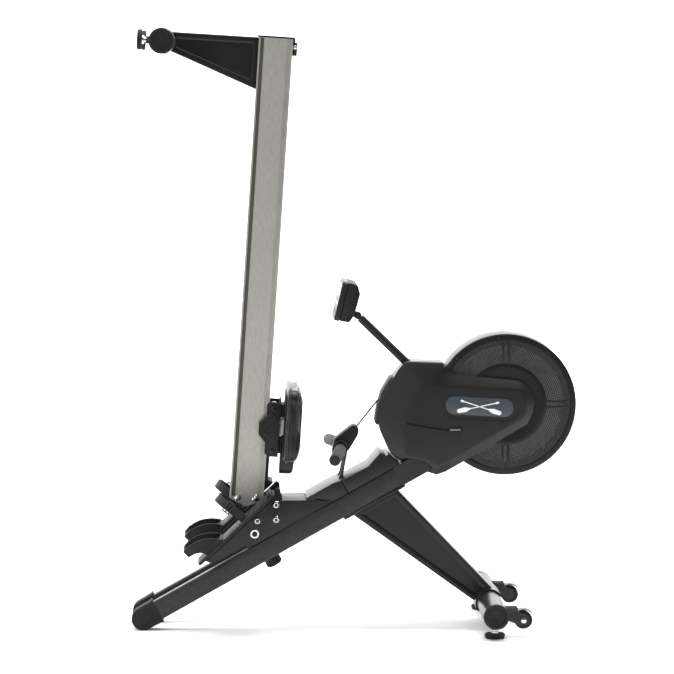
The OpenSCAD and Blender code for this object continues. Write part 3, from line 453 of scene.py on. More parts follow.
def build_brushed():
    """Long fine lines along local Z, as on extruded or brushed metal."""
    tree, gin, gout = group("brushed_lines", [
        ("Vector", "Vector", (0, 0, 0)), ("Scale", "Float", 500.0), ("Rough Low", "Float", 0.3),
        ("Rough High", "Float", 0.4)], [("Height", "Float"), ("Roughness", "Float"), ("Mask", "Float")])
    squeeze, lines = node(tree, "Mapping"), node(tree, "TexNoise")
    squeeze.inputs["Scale"].default_value = (1, 1, 0.012)
    lines.inputs["Detail"].default_value = 5
    tree.links.new(gin.outputs["Vector"], squeeze.inputs["Vector"])
    tree.links.new(squeeze.outputs["Vector"], lines.inputs["Vector"])
    tree.links.new(gin.outputs["Scale"], lines.inputs["Scale"])
    ramp = node(tree, "MapRange")
    tree.links.new(lines.outputs["Fac"], ramp.inputs["Value"])
    tree.links.new(gin.outputs["Rough Low"], ramp.inputs["To Min"])
    tree.links.new(gin.outputs["Rough High"], ramp.inputs["To Max"])
    tree.links.new(lines.outputs["Fac"], gout.inputs["Height"])
    tree.links.new(lines.outputs["Fac"], gout.inputs["Mask"])
    tree.links.new(ramp.outputs["Result"], gout.inputs["Roughness"])
    return tree


def build_weave():
    """Over and under of a webbing strap."""
    tree, gin, gout = group("webbing_weave", [("Vector", "Vector", (0, 0, 0)), ("Scale", "Float", 180.0)],
                            [("Height", "Float"), ("Mask", "Float")])
    waves = []
    for direction in ("X", "Y"):
        wave = node(tree, "TexWave", wave_type="BANDS", bands_direction=direction, wave_profile="SIN")
        wave.inputs["Distortion"].default_value = 0.4
        tree.links.new(gin.outputs["Vector"], wave.inputs["Vector"])
        tree.links.new(gin.outputs["Scale"], wave.inputs["Scale"])
        waves.append(wave.outputs["Fac"])
    height = math_node(tree, "MULTIPLY", waves[0], waves[1])
    tree.links.new(height, gout.inputs["Height"])
    tree.links.new(height, gout.inputs["Mask"])
    return tree


GRAIN, TONE, WEAR_AND_HIGHLIGHT, BRUSHED, WEAVE = build_grain(), build_tone(), build_wear_and_highlight(), build_brushed(), build_weave()
print("groups", [g.name for g in bpy.data.node_groups])

# %% [markdown]
# ## Finishes
# One helper wires the groups into a Principled shader, so a finish is a short list of numbers: two tones, a
# grain and its depth, a range of roughness, and how much its edges are lightened, as wear on most finishes
# and as a painted highlight on the rail. Black parts still differ a lot here: powder paint has a soft sheen,
# the caps are dull rubber, the shroud is satin plastic, the seat is vinyl with a leather grain. Those
# differences carry the realism, because the colours hardly do.

# %% Finish helper
def use_group(tree, source, **values):
    made = tree.nodes.new("ShaderNodeGroup")
    made.node_tree = source
    for key, value in values.items():
        socket = made.inputs[key.replace("_", " ")]
        if isinstance(value, bpy.types.NodeSocket):
            tree.links.new(value, socket)
        else:
            socket.default_value = value
    return made


def grey(value, tint=(1, 1, 1)):
    return (value * tint[0], value * tint[1], value * tint[2], 1)


def finish(name, tone_a, tone_b, rough=(0.4, 0.5), grain=400.0, depth=0.0002, kind="grain", metallic=0.0,
           worn_and_lit_edge=None, wear_and_highlight=0.3, dust=0.04, coat=0.0, turn=0.0, tone_scale=9.0, sheen=0.0, specular=0.18):
    material = bpy.data.materials.new(name)
    material.use_nodes = True
    tree = material.node_tree
    shader = tree.nodes["Principled BSDF"]
    where = node(tree, "TexCoord").outputs["Object"]
    if turn:
        turned_by = node(tree, "Mapping")
        turned_by.inputs["Rotation"].default_value = (0, turn, 0)
        tree.links.new(where, turned_by.inputs["Vector"])
        where = turned_by.outputs["Vector"]
    tone = use_group(tree, TONE, Vector=where, Scale=tone_scale, Tone_A=tone_a, Tone_B=tone_b, Dust=dust)
    colour = tone.outputs["Color"]
    # Lightened edges: rubbed wear on most finishes, and a painted highlight on the rail
    if worn_and_lit_edge is not None:
        colour = use_group(tree, WEAR_AND_HIGHLIGHT, Color=colour, Worn=worn_and_lit_edge, Amount=wear_and_highlight).outputs["Color"]
    tree.links.new(colour, shader.inputs["Base Color"])
    if kind == "weave":
        fabric = use_group(tree, WEAVE, Vector=where, Scale=grain)
        spread = node(tree, "MapRange")
        tree.links.new(fabric.outputs["Mask"], spread.inputs["Value"])
        spread.inputs["To Min"].default_value, spread.inputs["To Max"].default_value = rough
        height, roughness = fabric.outputs["Height"], spread.outputs["Result"]
    else:
        skin = use_group(tree, BRUSHED if kind == "brushed" else GRAIN, Vector=where, Scale=grain,
                         Rough_Low=rough[0], Rough_High=rough[1])
        height, roughness = skin.outputs["Height"], skin.outputs["Roughness"]
    tree.links.new(roughness, shader.inputs["Roughness"])
    bump = node(tree, "Bump")
    bump.inputs["Strength"].default_value = 0.6
    bump.inputs["Distance"].default_value = depth
    tree.links.new(height, bump.inputs["Height"])
    tree.links.new(bump.outputs["Normal"], shader.inputs["Normal"])
    shader.inputs["Metallic"].default_value = metallic
    shader.inputs["Coat Weight"].default_value = coat
    shader.inputs["Coat Roughness"].default_value = 0.12
    shader.inputs["Sheen Weight"].default_value = sheen
    shader.inputs["Specular IOR Level"].default_value = specular
    return material


# %% The machine's finishes
RAIL_TURN = -math.radians(3.8)
finishes = {
    "black_paint": finish("black_powder_paint", grey(0.007), grey(0.012), (0.3, 0.4), 900, 0.00008,
                          worn_and_lit_edge=grey(0.08), wear_and_highlight=0.35, coat=0.12, specular=0.22),
    "cap_rubber": finish("cap_rubber", grey(0.013), grey(0.021), (0.6, 0.75), 700, 0.00025, worn_and_lit_edge=grey(0.06)),
    "chrome": finish("chrome_bolt", grey(0.62), grey(0.8), (0.1, 0.22), 260, 0.00003, metallic=1.0, dust=0.0,
                     specular=0.5),
    "black_plastic": finish("black_plastic", grey(0.009), grey(0.016), (0.42, 0.55), 800, 0.0002,
                            worn_and_lit_edge=grey(0.07)),
    "shroud_plastic": finish("satin_shroud", grey(0.008), grey(0.012), (0.33, 0.4), 1100, 0.00006,
                             worn_and_lit_edge=grey(0.05), coat=0.05, specular=0.3),
    "strap_webbing": finish("strap_webbing", grey(0.01), grey(0.03), (0.7, 0.9), 190, 0.0006, "weave",
                            sheen=0.2),
    "buckle": finish("buckle_plastic", grey(0.012), grey(0.02), (0.35, 0.45), 600, 0.0001, worn_and_lit_edge=grey(0.1)),
    "cage_paint": finish("cage_paint", grey(0.007), grey(0.013), (0.3, 0.42), 900, 0.00006, worn_and_lit_edge=grey(0.09),
                         coat=0.1),
    "bare_steel": finish("bare_steel", grey(0.3), grey(0.42), (0.3, 0.45), 500, 0.00006, "brushed", 1.0,
                         dust=0.0),
    "belt_rubber": finish("belt_rubber", grey(0.01), grey(0.018), (0.6, 0.75), 900, 0.0002),
    "badge": finish("badge_enamel", grey(0.06, (0.8, 1.0, 1.25)), grey(0.075, (0.8, 1.0, 1.22)), (0.3, 0.34),
                    300, 0.00001, coat=0.3, dust=0.0),
    "screw_black": finish("black_screw", grey(0.008), grey(0.016), (0.25, 0.4), 900, 0.00005, metallic=0.6,
                          worn_and_lit_edge=grey(0.2)),
    "grip_foam": finish("grip_foam", grey(0.016), grey(0.028), (0.8, 0.95), 1300, 0.0005, sheen=0.15),
    "screen": finish("screen_glass", grey(0.02, (0.9, 1.1, 1.0)), grey(0.03, (0.9, 1.1, 1.0)), (0.05, 0.1),
                     200,
                     0.00001, coat=1.0, dust=0.0),
    "button_grey": finish("button_grey", grey(0.2, (0.9, 1, 1.1)), grey(0.26, (0.9, 1, 1.1)), (0.4, 0.5),
                          700,
                          0.0001),
    # The rail's edges are lightened to near white: a painted highlight along its edges
    "rail_aluminium": finish("anodised_rail", (0.3, 0.29, 0.245, 1), (0.34, 0.33, 0.28, 1), (0.4, 0.44),
                             900, 0.00002, "brushed", 0.7, worn_and_lit_edge=grey(0.8), wear_and_highlight=0.5, turn=RAIL_TURN,
                             dust=0.01),
    # Painted shade: a darker grey for the groove floor, standing for the shade inside the groove
    "groove_grey": finish("groove_painted_shade", (0.09, 0.088, 0.072, 1), (0.12, 0.118, 0.1, 1), (0.5, 0.6),
                          900, 0.00004,
                          metallic=0.4),
    "truck_steel": finish("black_truck_steel", grey(0.007), grey(0.012), (0.32, 0.45), 900, 0.00008,
                          worn_and_lit_edge=grey(0.12), wear_and_highlight=0.5),
    "seat_vinyl": finish("seat_vinyl", grey(0.008), grey(0.013), (0.28, 0.4), 520, 0.0003, worn_and_lit_edge=grey(0.04),
                         sheen=0.04, specular=0.35),
    "roller_nylon": finish("roller_nylon", grey(0.55, (1, 1, 0.96)), grey(0.66, (1, 1, 0.96)), (0.35, 0.5),
                           500,
                           0.0001),
}
white_ink = finish("white_enamel", grey(0.8), grey(0.9), (0.3, 0.4), 300, 0.00003, dust=0.0)
plate_grey = finish("grey_plate_paint", grey(0.22), grey(0.27), (0.55, 0.7), 900, 0.00005, dust=0.02)
mesh_grey = finish("mesh_paint", grey(0.03), grey(0.042), (0.35, 0.5), 900, 0.00004, worn_and_lit_edge=grey(0.2),
                   specular=0.5)
panel_grey = finish("panel_plastic", grey(0.045), grey(0.06), (0.5, 0.6), 500, 0.0003, worn_and_lit_edge=grey(0.12))
print(len(finishes), "finishes")

# %% [markdown]
# ## Main beams and their floor caps
# Two steel tubes of 38 by 60 mm carry everything. A drawn tube has round corners, and those corners are
# what shows in studio light: one bright line along the top, a dim one below. So each beam is a block whose
# four long edges get a bevel of 7 mm. The floor ends wear rubber caps with a round nose and shallow ribs
# for grip.

# %% Beams
BEAM_IN, BEAM_OUT, BEAM_TOP, BEAM_END = 0.041, 0.079, 0.030, 1.010


def beam(name, sign, replaced):
    bm = bmesh.new()
    block(bm, (0.008, sign * BEAM_IN, -BEAM_TOP), (BEAM_END, sign * BEAM_OUT, BEAM_TOP), 0)
    long_edges = [e for e in bm.edges if abs(e.verts[0].co.x - e.verts[1].co.x) > 0.5]
    bevel(bm, long_edges, 0.007, 5)
    piece(name, bm, finishes["black_paint"], "frame", [replaced], BEAM)


beam("beam_tube_near", -1, "main_beam_near")
beam("beam_tube_far", 1, "main_beam_far")


# %% Floor caps
def floor_cap(name, sign, replaced):
    bm = bmesh.new()
    inner, outer = sign * (BEAM_IN - 0.005), sign * (BEAM_OUT + 0.004)
    low, high = min(inner, outer), max(inner, outer)
    slab(bm, [(-0.034, -0.034), (0.05, -0.036), (0.05, 0.036), (-0.034, 0.034)], low, high)
    nose = [e for e in bm.edges if all(v.co.x < -0.03 for v in e.verts) and abs(
        e.verts[0].co.y - e.verts[1].co.y) > 0.01]
    bevel(bm, nose, 0.0335, 12)
    rims = [e for e in bm.edges if abs(e.verts[0].co.y - e.verts[1].co.y) < 1e-6]
    bevel(bm, rims, 0.003, 3)
    face = sign * (BEAM_OUT + 0.004)
    for n in (-0.022, -0.011, 0.0, 0.011, 0.022):
        start = -0.024 + abs(n) * 0.55
        block(bm, (start, face - 0.0015, n - 0.0022), (0.046, face + 0.0012, n + 0.0022), 0.0009)
    block(bm, (0.046, low - 0.0008, -0.0375), (0.052, high + 0.0008, 0.0375), 0.002)
    piece(name, bm, finishes["cap_rubber"], "frame", [replaced], BEAM)


floor_cap("floor_cap_near", -1, "beam_cap_near")
floor_cap("floor_cap_far", 1, "beam_cap_far")

# %% [markdown]
# ## Gussets and fold bracket
# A gusset is a 5 mm steel plate that stands on each beam and carries the foot rests and the rail's pivot.
# Its edges are laser cut and then painted, so they get a small bevel only. A folded lip along the sloping
# edge makes the plate stiff. Between the two gussets lies a bracket with the lugs of the fold axle, and a
# bare top plate.

# %% Gusset plates
FOOT_S, FOOT_N = 0.2393, 0.0736
GUSSET = [(FOOT_S, FOOT_N - 0.001), (0.261, 0.0489), (0.294, 0.040), (0.378, 0.040), (0.384, 0.0301),
          (0.676, 0.0301), (0.658, 0.0436), (0.540, 0.1094), (0.554, 0.1383), (0.548, 0.150),
          (0.538, 0.1463)]


def gusset(name, sign, replaced):
    bm = bmesh.new()
    a, b = sorted((sign * 0.070, sign * 0.075))
    slab(bm, GUSSET, a, b, edge=0.0012)
    bmesh.ops.transform(bm, matrix=BEAM, verts=bm.verts)
    lip_a, lip_b = sorted((sign * 0.075, sign * 0.083))
    block(bm, (0.020, lip_a, -0.008), (0.296, lip_b, -0.005), 0.001, place=FOOT)
    block(bm, (0.026, lip_a, -0.020), (0.290, sign * 0.0765 if sign > 0 else lip_b + 0.0065, -0.017), 0.0008,
          place=FOOT)
    piece(name, bm, finishes["black_paint"], "frame", [replaced])


gusset("gusset_plate_near", -1, "gusset_near")
gusset("gusset_plate_far", 1, "gusset_far")

# %% Fold bracket and its top plate
bm = bmesh.new()
block(bm, (0.395, -0.0409, -0.008), (0.507, 0.0409, 0.004), 0.0015)
for sign in (-1, 1):
    a, b = sorted((sign * 0.020, sign * 0.027))
    slab(bm, [(0.4595, 0.004), (0.4885, 0.004), (0.4885, 0.158), (0.4595, 0.158)], a, b, corner=0.0,
         edge=0.001)
piece("fold_bracket_lugs", bm, finishes["black_paint"], "frame", place=BEAM)
bm = bmesh.new()
top = in_frame(BEAM, 0.540, 0.1094)
block(bm, (top[0] + 0.004, -0.0698, top[1] - 0.005), (top[0] + 0.122, 0.0698, top[1] - 0.001), 0.001)
piece("bracket_top_plate", bm, plate_grey, "frame", ["fold_bracket"])

# %% [markdown]
# ## Legs with embossed sides
# Both legs are pressed steel boxes. Each side has a rounded recess that follows the outline, pressed in for
# stiffness. The recess comes from two insets of the side face: the first leaves the flat border, and the
# second sinks the middle and makes its sloping wall. A bevel on the outer rim then gives the folded sheet
# its radius.


# %% Legs
def embossed(bm, outline, half, border, slope, depth, place=None, edge=0.004):
    before = set(bm.verts)
    slab(bm, outline, -half, half)
    bm.normal_update()
    new = set(fresh(bm, before))
    outer = [e for e in bm.edges if e.verts[0] in new]
    sides = [f for f in bm.faces if f.verts[0] in new and abs(f.normal.y) > 0.99]
    bmesh.ops.inset_region(bm, faces=sides, thickness=border, use_even_offset=True)
    lip = list({e for f in sides for e in f.edges})
    bmesh.ops.inset_region(bm, faces=sides, thickness=slope, depth=-depth, use_even_offset=True)
    bevel(bm, outer + lip, edge, 4)
    if place is not None:
        bmesh.ops.transform(bm, matrix=place, verts=fresh(bm, before))


REAR_TUBE = (-0.3626, 1.354)
FRONT_TUBE = (0.41218, 0.072)
bm = bmesh.new()
embossed(bm, [(-0.0781, 1.385), (-0.3386, 1.384), (-0.3426, 1.327), (-0.0781, 1.229)], 0.028, 0.014, 0.006,
         0.004)
piece("rear_leg_box", bm, finishes["black_paint"], "rail", ["rear_leg"], RAIL)

bm = bmesh.new()
leg = [in_frame(BEAM, 0.704, -0.038), (FRONT_TUBE[0] - 0.049, FRONT_TUBE[1] + 0.006),
       (FRONT_TUBE[0], FRONT_TUBE[1]), (FRONT_TUBE[0] + 0.012, FRONT_TUBE[1] + 0.040),
       in_frame(BEAM, 0.859, -0.038)]
embossed(bm, leg, 0.040, 0.014, 0.007, 0.005)
block(bm, (0.678, -0.077, -0.038), (0.888, 0.077, -0.0301), 0.0015, place=BEAM)
piece("front_leg_box", bm, finishes["black_paint"], "frame", ["front_leg"])

# %% [markdown]
# ## Stand tubes, levelling feet and wheels
# The stand tubes run across the machine, so the camera looks straight at their end plugs. A plug is turned:
# a shallow dish inside a rounded rim. The levelling foot is a rubber disc, moulded over a plate, on a
# chrome stem with a collar. The wheel has a tyre with soft shoulders and a dished side. All are half
# profiles, spun.


# %% Stand tubes
STAND_HALF, FOOT_Y = 0.285, 0.235


def stand(name, body, replaced, place):
    bm = bmesh.new()
    turned(bm, [(-STAND_HALF, 0), (-STAND_HALF, 0.036), (-STAND_HALF + 0.001, 0.037),
                (STAND_HALF - 0.001, 0.037), (STAND_HALF, 0.036), (STAND_HALF, 0)], place)
    for s in (-1, 1):
        block(bm, (-0.011, s * FOOT_Y - 0.011, -0.046), (0.011, s * FOOT_Y + 0.011, -0.030), 0.003,
              place=place)
    piece(name + "_tube_body", bm, finishes["black_paint"], body, [replaced])
    bm = bmesh.new()
    plug = [(-0.0035, 0), (-0.0035, 0.012), (-0.0045, 0.014), (-0.0045, 0.026), (-0.007, 0.0285),
            (-0.007, 0.0335), (-0.0055, 0.0365), (-0.0025, 0.038), (0.0025, 0.038), (0.0025, 0)]
    plug = [(y - STAND_HALF, r) for y, r in plug]
    turned(bm, plug, place)
    mirror_y(bm)
    piece(name + "_tube_plugs", bm, finishes["cap_rubber"], body)


FRONT = Matrix.Translation((FRONT_TUBE[0], 0, FRONT_TUBE[1]))
REAR = RAIL @ Matrix.Translation((REAR_TUBE[0], 0, REAR_TUBE[1])) @ Matrix.Rotation(math.pi / 2, 4, "Y")
stand("front", "frame", "front_tube", FRONT)
stand("rear", "rail", "rear_tube", REAR)

# %% Saddle that clamps the front tube
bm = bmesh.new()
turned(bm, [(-0.058, 0.0372), (-0.058, 0.043), (0.058, 0.043), (0.058, 0.0372)], FRONT)
bmesh.ops.bisect_plane(bm, geom=bm.verts[:] + bm.edges[:] + bm.faces[:],
                       plane_co=(FRONT_TUBE[0], 0, FRONT_TUBE[1]),
                       plane_no=(0.6, 0, -0.8), clear_outer=True)
bmesh.ops.holes_fill(bm, edges=bm.edges)
piece("tube_saddle", bm, finishes["black_paint"], "frame")

# %% Levelling feet
UPRIGHT = Matrix.Rotation(math.pi / 2, 4, "X")


def levelling_foot(name, body, replaced, base, sign):
    place = base @ Matrix.Translation((0, sign * FOOT_Y, -0.072)) @ UPRIGHT
    bm = bmesh.new()
    disc = [(0, 0), (0, 0.028), (0.003, 0.0295), (0.005, 0.0285), (0.006, 0.030), (0.012, 0.030),
            (0.0145, 0.027),
            (0.0145, 0.013), (0.0145, 0)]
    turned(bm, disc, place)
    for i in range(24):
        bump_at = Matrix.Rotation(i * math.pi / 12, 4, "Y")
        block(bm, (0.0285, 0.0065, -0.0015), (0.0305, 0.0118, 0.0015), 0.0005, 1, place=place @ bump_at)
    piece(name + "_disc", bm, finishes["cap_rubber"], body, [replaced])
    bm = bmesh.new()
    stem = [(0.012, 0), (0.012, 0.0125), (0.0195, 0.0125), (0.0205, 0.0115), (0.0205, 0.0072),
            (0.055, 0.0072),
            (0.0558, 0)]
    turned(bm, stem, place, 32)
    for i in range(8):
        y = 0.0225 + i * 0.0016
        turned(bm, [(y, 0.0069), (y + 0.0008, 0.0078), (y + 0.0016, 0.0069)], place, 24)
    piece(name + "_stem", bm, finishes["chrome"], body)


levelling_foot("front_foot_near", "front_foot_near", "front_foot_near", FRONT, -1)
levelling_foot("front_foot_far", "front_foot_far", "front_foot_far", FRONT, 1)
levelling_foot("rear_foot_near", "rear_foot_near", "rear_foot_near", REAR, -1)
levelling_foot("rear_foot_far", "rear_foot_far", "rear_foot_far", REAR, 1)


# %% Transport wheels and their axle bolts
def wheel(name):
    place = Matrix.Translation(joint_at(name + "_spin"))
    bm = bmesh.new()
    tyre = [(-0.011, 0.0052), (-0.011, 0.010), (-0.0085, 0.0115), (-0.008, 0.018), (-0.011, 0.0205),
            (-0.011, 0.0235), (-0.0095, 0.0258), (-0.007, 0.027)]
    turned(bm, tyre + [(-y, r) for y, r in reversed(tyre)], place)
    piece(name + "_tyre", bm, finishes["cap_rubber"], name, [name])


wheel("wheel_near")
wheel("wheel_far")
bm = bmesh.new()
bolt = Matrix.Translation(joint_at("wheel_near_spin") + Vector((0, -0.0162, 0)))
turned(bm, [(-0.006, 0), (-0.0058, 0.005), (-0.0045, 0.0085), (-0.001, 0.0092), (0, 0.0092), (0, 0)], bolt,
       32)
mirror_y(bm)
piece("wheel_axle_bolts", bm, finishes["chrome"], "frame")

# %% [markdown]
# ## Rail grooves and bolt sockets
# Two small touches make the kept frame parts read right. The rail's rear groove gets a darker floor, a thin
# strip of painted shade that stands for the shade inside the groove. The gusset's bolts are socket heads, and
# a dark six-sided disc of painted shade sits in the recess of each bright head.

# %% Painted shade in the groove
bm = bmesh.new()
# A thin dark strip on the groove floor: painted shade
block(bm, (-0.0729, -0.0299, 0.002), (-0.0621, -0.0296, 1.384), 0)
mirror_y(bm)
piece("rail_groove_painted_shade", bm, finishes["groove_grey"], "rail", place=RAIL)

# %% Socket bolts of the gussets, cross pin ring, leg bolts
bright, dark = bmesh.new(), bmesh.new()
GUSSET_OUT = 0.0751
for s, n in ((0.520, 0.1055), (0.498, 0.066), (0.447, 0.091)):
    spot = Matrix.Translation((s, -GUSSET_OUT, n))
    turned(bright, [(0, 0), (0, 0.011), (-0.0012, 0.011), (-0.003, 0.0094), (-0.0062, 0.0082),
                    (-0.0068, 0.0065),
                    (-0.0060, 0.0050), (-0.0030, 0.0048), (-0.0030, 0)], spot, 36)
    # A dark six-sided disc at the floor of each socket: painted shade in the recess
    turned(dark, [(-0.0031, 0), (-0.0031, 0.0047), (-0.0040, 0.0047), (-0.0040, 0)], spot, 6)
ring_spot = Matrix.Translation((0.4205, -GUSSET_OUT, 0.0595))
turned(bright, [(0, 0.0085), (0, 0.0135), (-0.002, 0.0135), (-0.003, 0.0125), (-0.003, 0.0085)], ring_spot,
       40)
turned(dark, [(0, 0), (0, 0.0076), (-0.0040, 0.0076), (-0.0050, 0.0066), (-0.0050, 0)], ring_spot, 32)
for s in (0.692, 0.874):
    turned(bright, [(-0.005, 0), (-0.0045, 0.004), (-0.0025, 0.0065), (0, 0.007), (0, 0)],
           Matrix.Translation((s, -0.053, -0.038)) @ UPRIGHT, 24)
mirror_y(bright)
mirror_y(dark)
piece("gusset_bolts", bright, finishes["chrome"], "frame", ["frame_bolts"], BEAM)
# Painted shade in the bolt sockets, together with the dark end of the cross pin in its ring
piece("gusset_socket_shade_and_pin_ends", dark, finishes["screw_black"], "frame", place=BEAM)

# %% [markdown]
# ## Shroud halves
# The shroud is two moulded shells that meet on the mid-plane. Each has a wall that follows its outline, a
# wide slope, and a flat face. An inset of even width can't make that slope, because it is 70 mm wide at the
# front and 25 mm round the hub. So the outer face is extruded and each of its corners is moved to its own
# place on the face's outline; then both rims are bevelled. The fan cage's room is cut out with an exact
# Boolean, and so is the cavity, which leaves a thin wall.

# %% Outlines of the shroud and of its flat face
# Each row is a point of the outline, then the point of the face that it slopes up to, from the fan's centre
SHROUD = [
    (86, 6, 61, 5), (84, 24, 59, 18), (75, 46, 53, 32), (58, 64, 42, 44), (36, 73, 30, 48), (22, 75, 18, 49),
    (-154, 93, -150, 59), (-168, 97, -172, 60), (-176, 102, -190, 61), (-186, 110, -206, 62),
    (-189, 118, -220, 63), (-186, 124, -234, 64), (-288, 128, -246, 60), (-302, 126, -254, 50),
    (-318, 106, -265, 32), (-343, 75, -279, 10), (-366, 34, -292, -14), (-377, -4, -301, -36),
    (-385, -50, -306, -60), (-375, -87, -308, -88), (-355, -133, -309, -120), (-335, -158, -308, -138),
    (-311, -170, -300, -150), (-242, -200, -240, -163), (-209, -211, -207, -183), (-182, -202, -188, -178),
    (-117, -165, -126, -142), (49, -68, 40, -47), (64, -59, 49, -41), (72, -45, 55, -31), (81, -24, 60, -15)]
HALF_OUT, CAGE_HALF, WALL = 0.087, 0.060, 0.003
OUTLINE = [(a * MM, b * MM) for a, b, _, _ in SHROUD]
FACE = [(c * MM, d * MM) for _, _, c, d in SHROUD]
SLOPE_START = -0.070


def shell_body():
    """Solid half: the wall, the slope and the face, with rounded rims."""
    bm = bmesh.new()
    base = bm.faces.new([bm.verts.new((x, -0.00025, z)) for x, z in OUTLINE])
    level = base
    for y, points in ((SLOPE_START, OUTLINE), (-HALF_OUT, FACE)):
        grown = bmesh.ops.extrude_face_region(bm, geom=[level], use_keep_orig=level is base)["geom"]
        level = [f for f in grown if isinstance(f, bmesh.types.BMFace)][0]
        for vert, (x, z) in zip(level.verts, points):
            vert.co = (x, y, z)
    bm.normal_update()
    rim = list(level.edges)
    bevel(bm, rim, 0.0045, 4)
    wall_top = [e for e in bm.edges if all(abs(v.co.y - SLOPE_START) < 1e-6 for v in e.verts)]
    bevel(bm, wall_top, 0.007, 4)
    return bm


bm = shell_body()
print("shroud body", len(bm.verts), "points")
bm.free()


# %% Cutters for the cage's room, the cavity, the front panel and the beams
def cavity():
    bm = bmesh.new()
    face = bm.faces.new([bm.verts.new((x, 0.01, z)) for x, z in OUTLINE])
    bmesh.ops.inset_region(bm, faces=[face], thickness=WALL, use_even_offset=True)
    bmesh.ops.delete(bm, geom=[f for f in bm.faces if f is not face], context="FACES")
    grown = bmesh.ops.extrude_face_region(bm, geom=[face], use_keep_orig=True)["geom"]
    bmesh.ops.translate(bm, verts=[v for v in grown if isinstance(v, bmesh.types.BMVert)],
                        vec=(0, -0.077, 0))
    return bm


def pill(bm, length, height, y0, y1, edge=0.0, turn=0.0, at=(0, 0)):
    h = height / 2
    place = Matrix.Translation((at[0], 0, at[1])) @ Matrix.Rotation(turn, 4, "Y")
    return slab(bm, [(-length / 2, -h), (length / 2, -h), (length / 2, h), (-length / 2, h)], y0, y1,
                corner=h * 0.999, edge=edge, place=place)


BADGE_TURN = math.radians(3.4)
BADGE_AT = (-0.081, -0.0026)


def shroud_half(name, replaced, far):
    bm = shell_body()
    bm = minus(bm, cavity())
    cage = bmesh.new()
    turned(cage, [(-CAGE_HALF - 0.0015, 0), (-CAGE_HALF - 0.0015, 0.215), (0.01, 0.215), (0.01, 0)],
           steps=128)
    bm = minus(bm, cage)
    front = bmesh.new()
    block(front, (-0.420, -0.041, -0.063), (-0.306, 0.01, 0.083), 0)
    bm = minus(bm, front)
    beams = bmesh.new()
    block(beams, (BEAM_END - 0.13, -0.0835, -0.031), (BEAM_END - 0.03, 0.01, 0.031), 0,
          place=FAN.inverted() @ BEAM)
    bm = minus(bm, beams)
    recess = bmesh.new()
    pill(recess, 0.244, 0.081, -0.0955, -0.0842, turn=BADGE_TURN, at=BADGE_AT)
    bm = minus(bm, recess)
    slot = bmesh.new()
    slab(slot, [(-0.302, -0.050), (-0.140, -0.0585), (-0.132, -0.063), (-0.136, -0.0765), (-0.172, -0.0765),
                (-0.300, -0.056)], -0.0955, -0.0795)
    bm = minus(bm, slot)
    if far:
        bmesh.ops.scale(bm, vec=(1, -1, 1), verts=bm.verts)
    return piece(name, bm, finishes["shroud_plastic"], "frame", [replaced], FAN, soft=24)


shroud_half("shroud_shell_near", "shroud_near", False)
shroud_half("shroud_shell_far", "shroud_far", True)

# %% [markdown]
# ## Badge, slot highlight, screws and front panel
# The badge is an enamelled pill with a raised rim. The sign on it is a generic pair of crossed oars, made
# of small bevelled blocks. Beside it, at the end of the slot, sits a pale grey block: a painted highlight for
# the bright reflection on the slot's end face. The front panel is a pebbled strip that closes the gap
# between the halves, where the strap comes out.


# %% Badge with crossed oars
def oar(bm, angle, y):
    place = Matrix.Translation((BADGE_AT[0], 0, BADGE_AT[1])) @ Matrix.Rotation(BADGE_TURN + angle, 4, "Y")
    block(bm, (-0.052, y - 0.0008, -0.0016), (0.030, y, 0.0016), 0.0004, 1, place=place)
    slab(bm, [(0.028, -0.0022), (0.044, -0.0075), (0.066, -0.0062), (0.070, 0.0), (0.066, 0.0062),
              (0.044, 0.0075), (0.028, 0.0022)], y - 0.0008, y, edge=0.0003, segments=1, place=place)
    block(bm, (-0.060, y - 0.0008, -0.0032), (-0.050, y, 0.0032), 0.0004, 1, place=place)


bm = bmesh.new()
pill(bm, 0.2045, 0.0548, -0.0868, -0.0843, 0.0008, BADGE_TURN, BADGE_AT)
mirror_y(bm)
piece("badge_plates", bm, finishes["badge"], "frame", ["badges"], FAN)
bm = bmesh.new()
for angle in (math.radians(15), math.radians(165)):
    oar(bm, angle, -0.0867)
mirror_y(bm)
piece("badge_oars", bm, white_ink, "frame", place=FAN)
bm = bmesh.new()
# A pale grey block at the end of each slot recess: painted highlight for the reflection on its end face
block(bm, (-0.170, -0.0870, -0.0752), (-0.139, -0.0790, -0.0705), 0.0008)
mirror_y(bm)
piece("slot_end_painted_highlights", bm, finishes["button_grey"], "frame", place=FAN)

# %% Screws in the shroud and the cage ring
bm = bmesh.new()


def socket_screw(x, z, radius, y):
    place = Matrix.Translation((x, y, z))
    turned(bm, [(-0.0018, radius * 0.35), (-0.0022, radius * 0.75), (-0.0016, radius), (0.004, radius),
                (0.004, 0), (0.0, 0), (-0.0002, radius * 0.35)], place, 20)


for x, z, radius in ((-0.264, 0.098, 0.006), (-0.310, 0.071, 0.004), (-0.355, -0.101, 0.004),
                     (-0.227, -0.165, 0.005), (-0.073, -0.0635, 0.004)):
    socket_screw(x, z, radius, -0.0735 if (x < -0.3 or z > 0.09 or z < -0.16) else -0.087)
for degrees in (96, 50, 0, -50, -120.6, 136.6):
    a = math.radians(degrees)
    socket_screw(0.201 * math.cos(a), 0.201 * math.sin(a), 0.004, -CAGE_HALF)
mirror_y(bm)
piece("shroud_socket_screws", bm, finishes["screw_black"], "frame", ["shroud_screws"], FAN)

# %% Mount plates inside the shroud, a little closer together so that they stay under its slope
bm = bmesh.new()
bm.from_mesh(nodes["fan_mounts"].data)
bmesh.ops.remove_doubles(bm, verts=bm.verts, dist=1e-6)
bmesh.ops.scale(bm, vec=(1, 0.9, 1), verts=bm.verts)
piece("fan_mount_plates", bm, finishes["black_paint"], "frame", ["fan_mounts"])

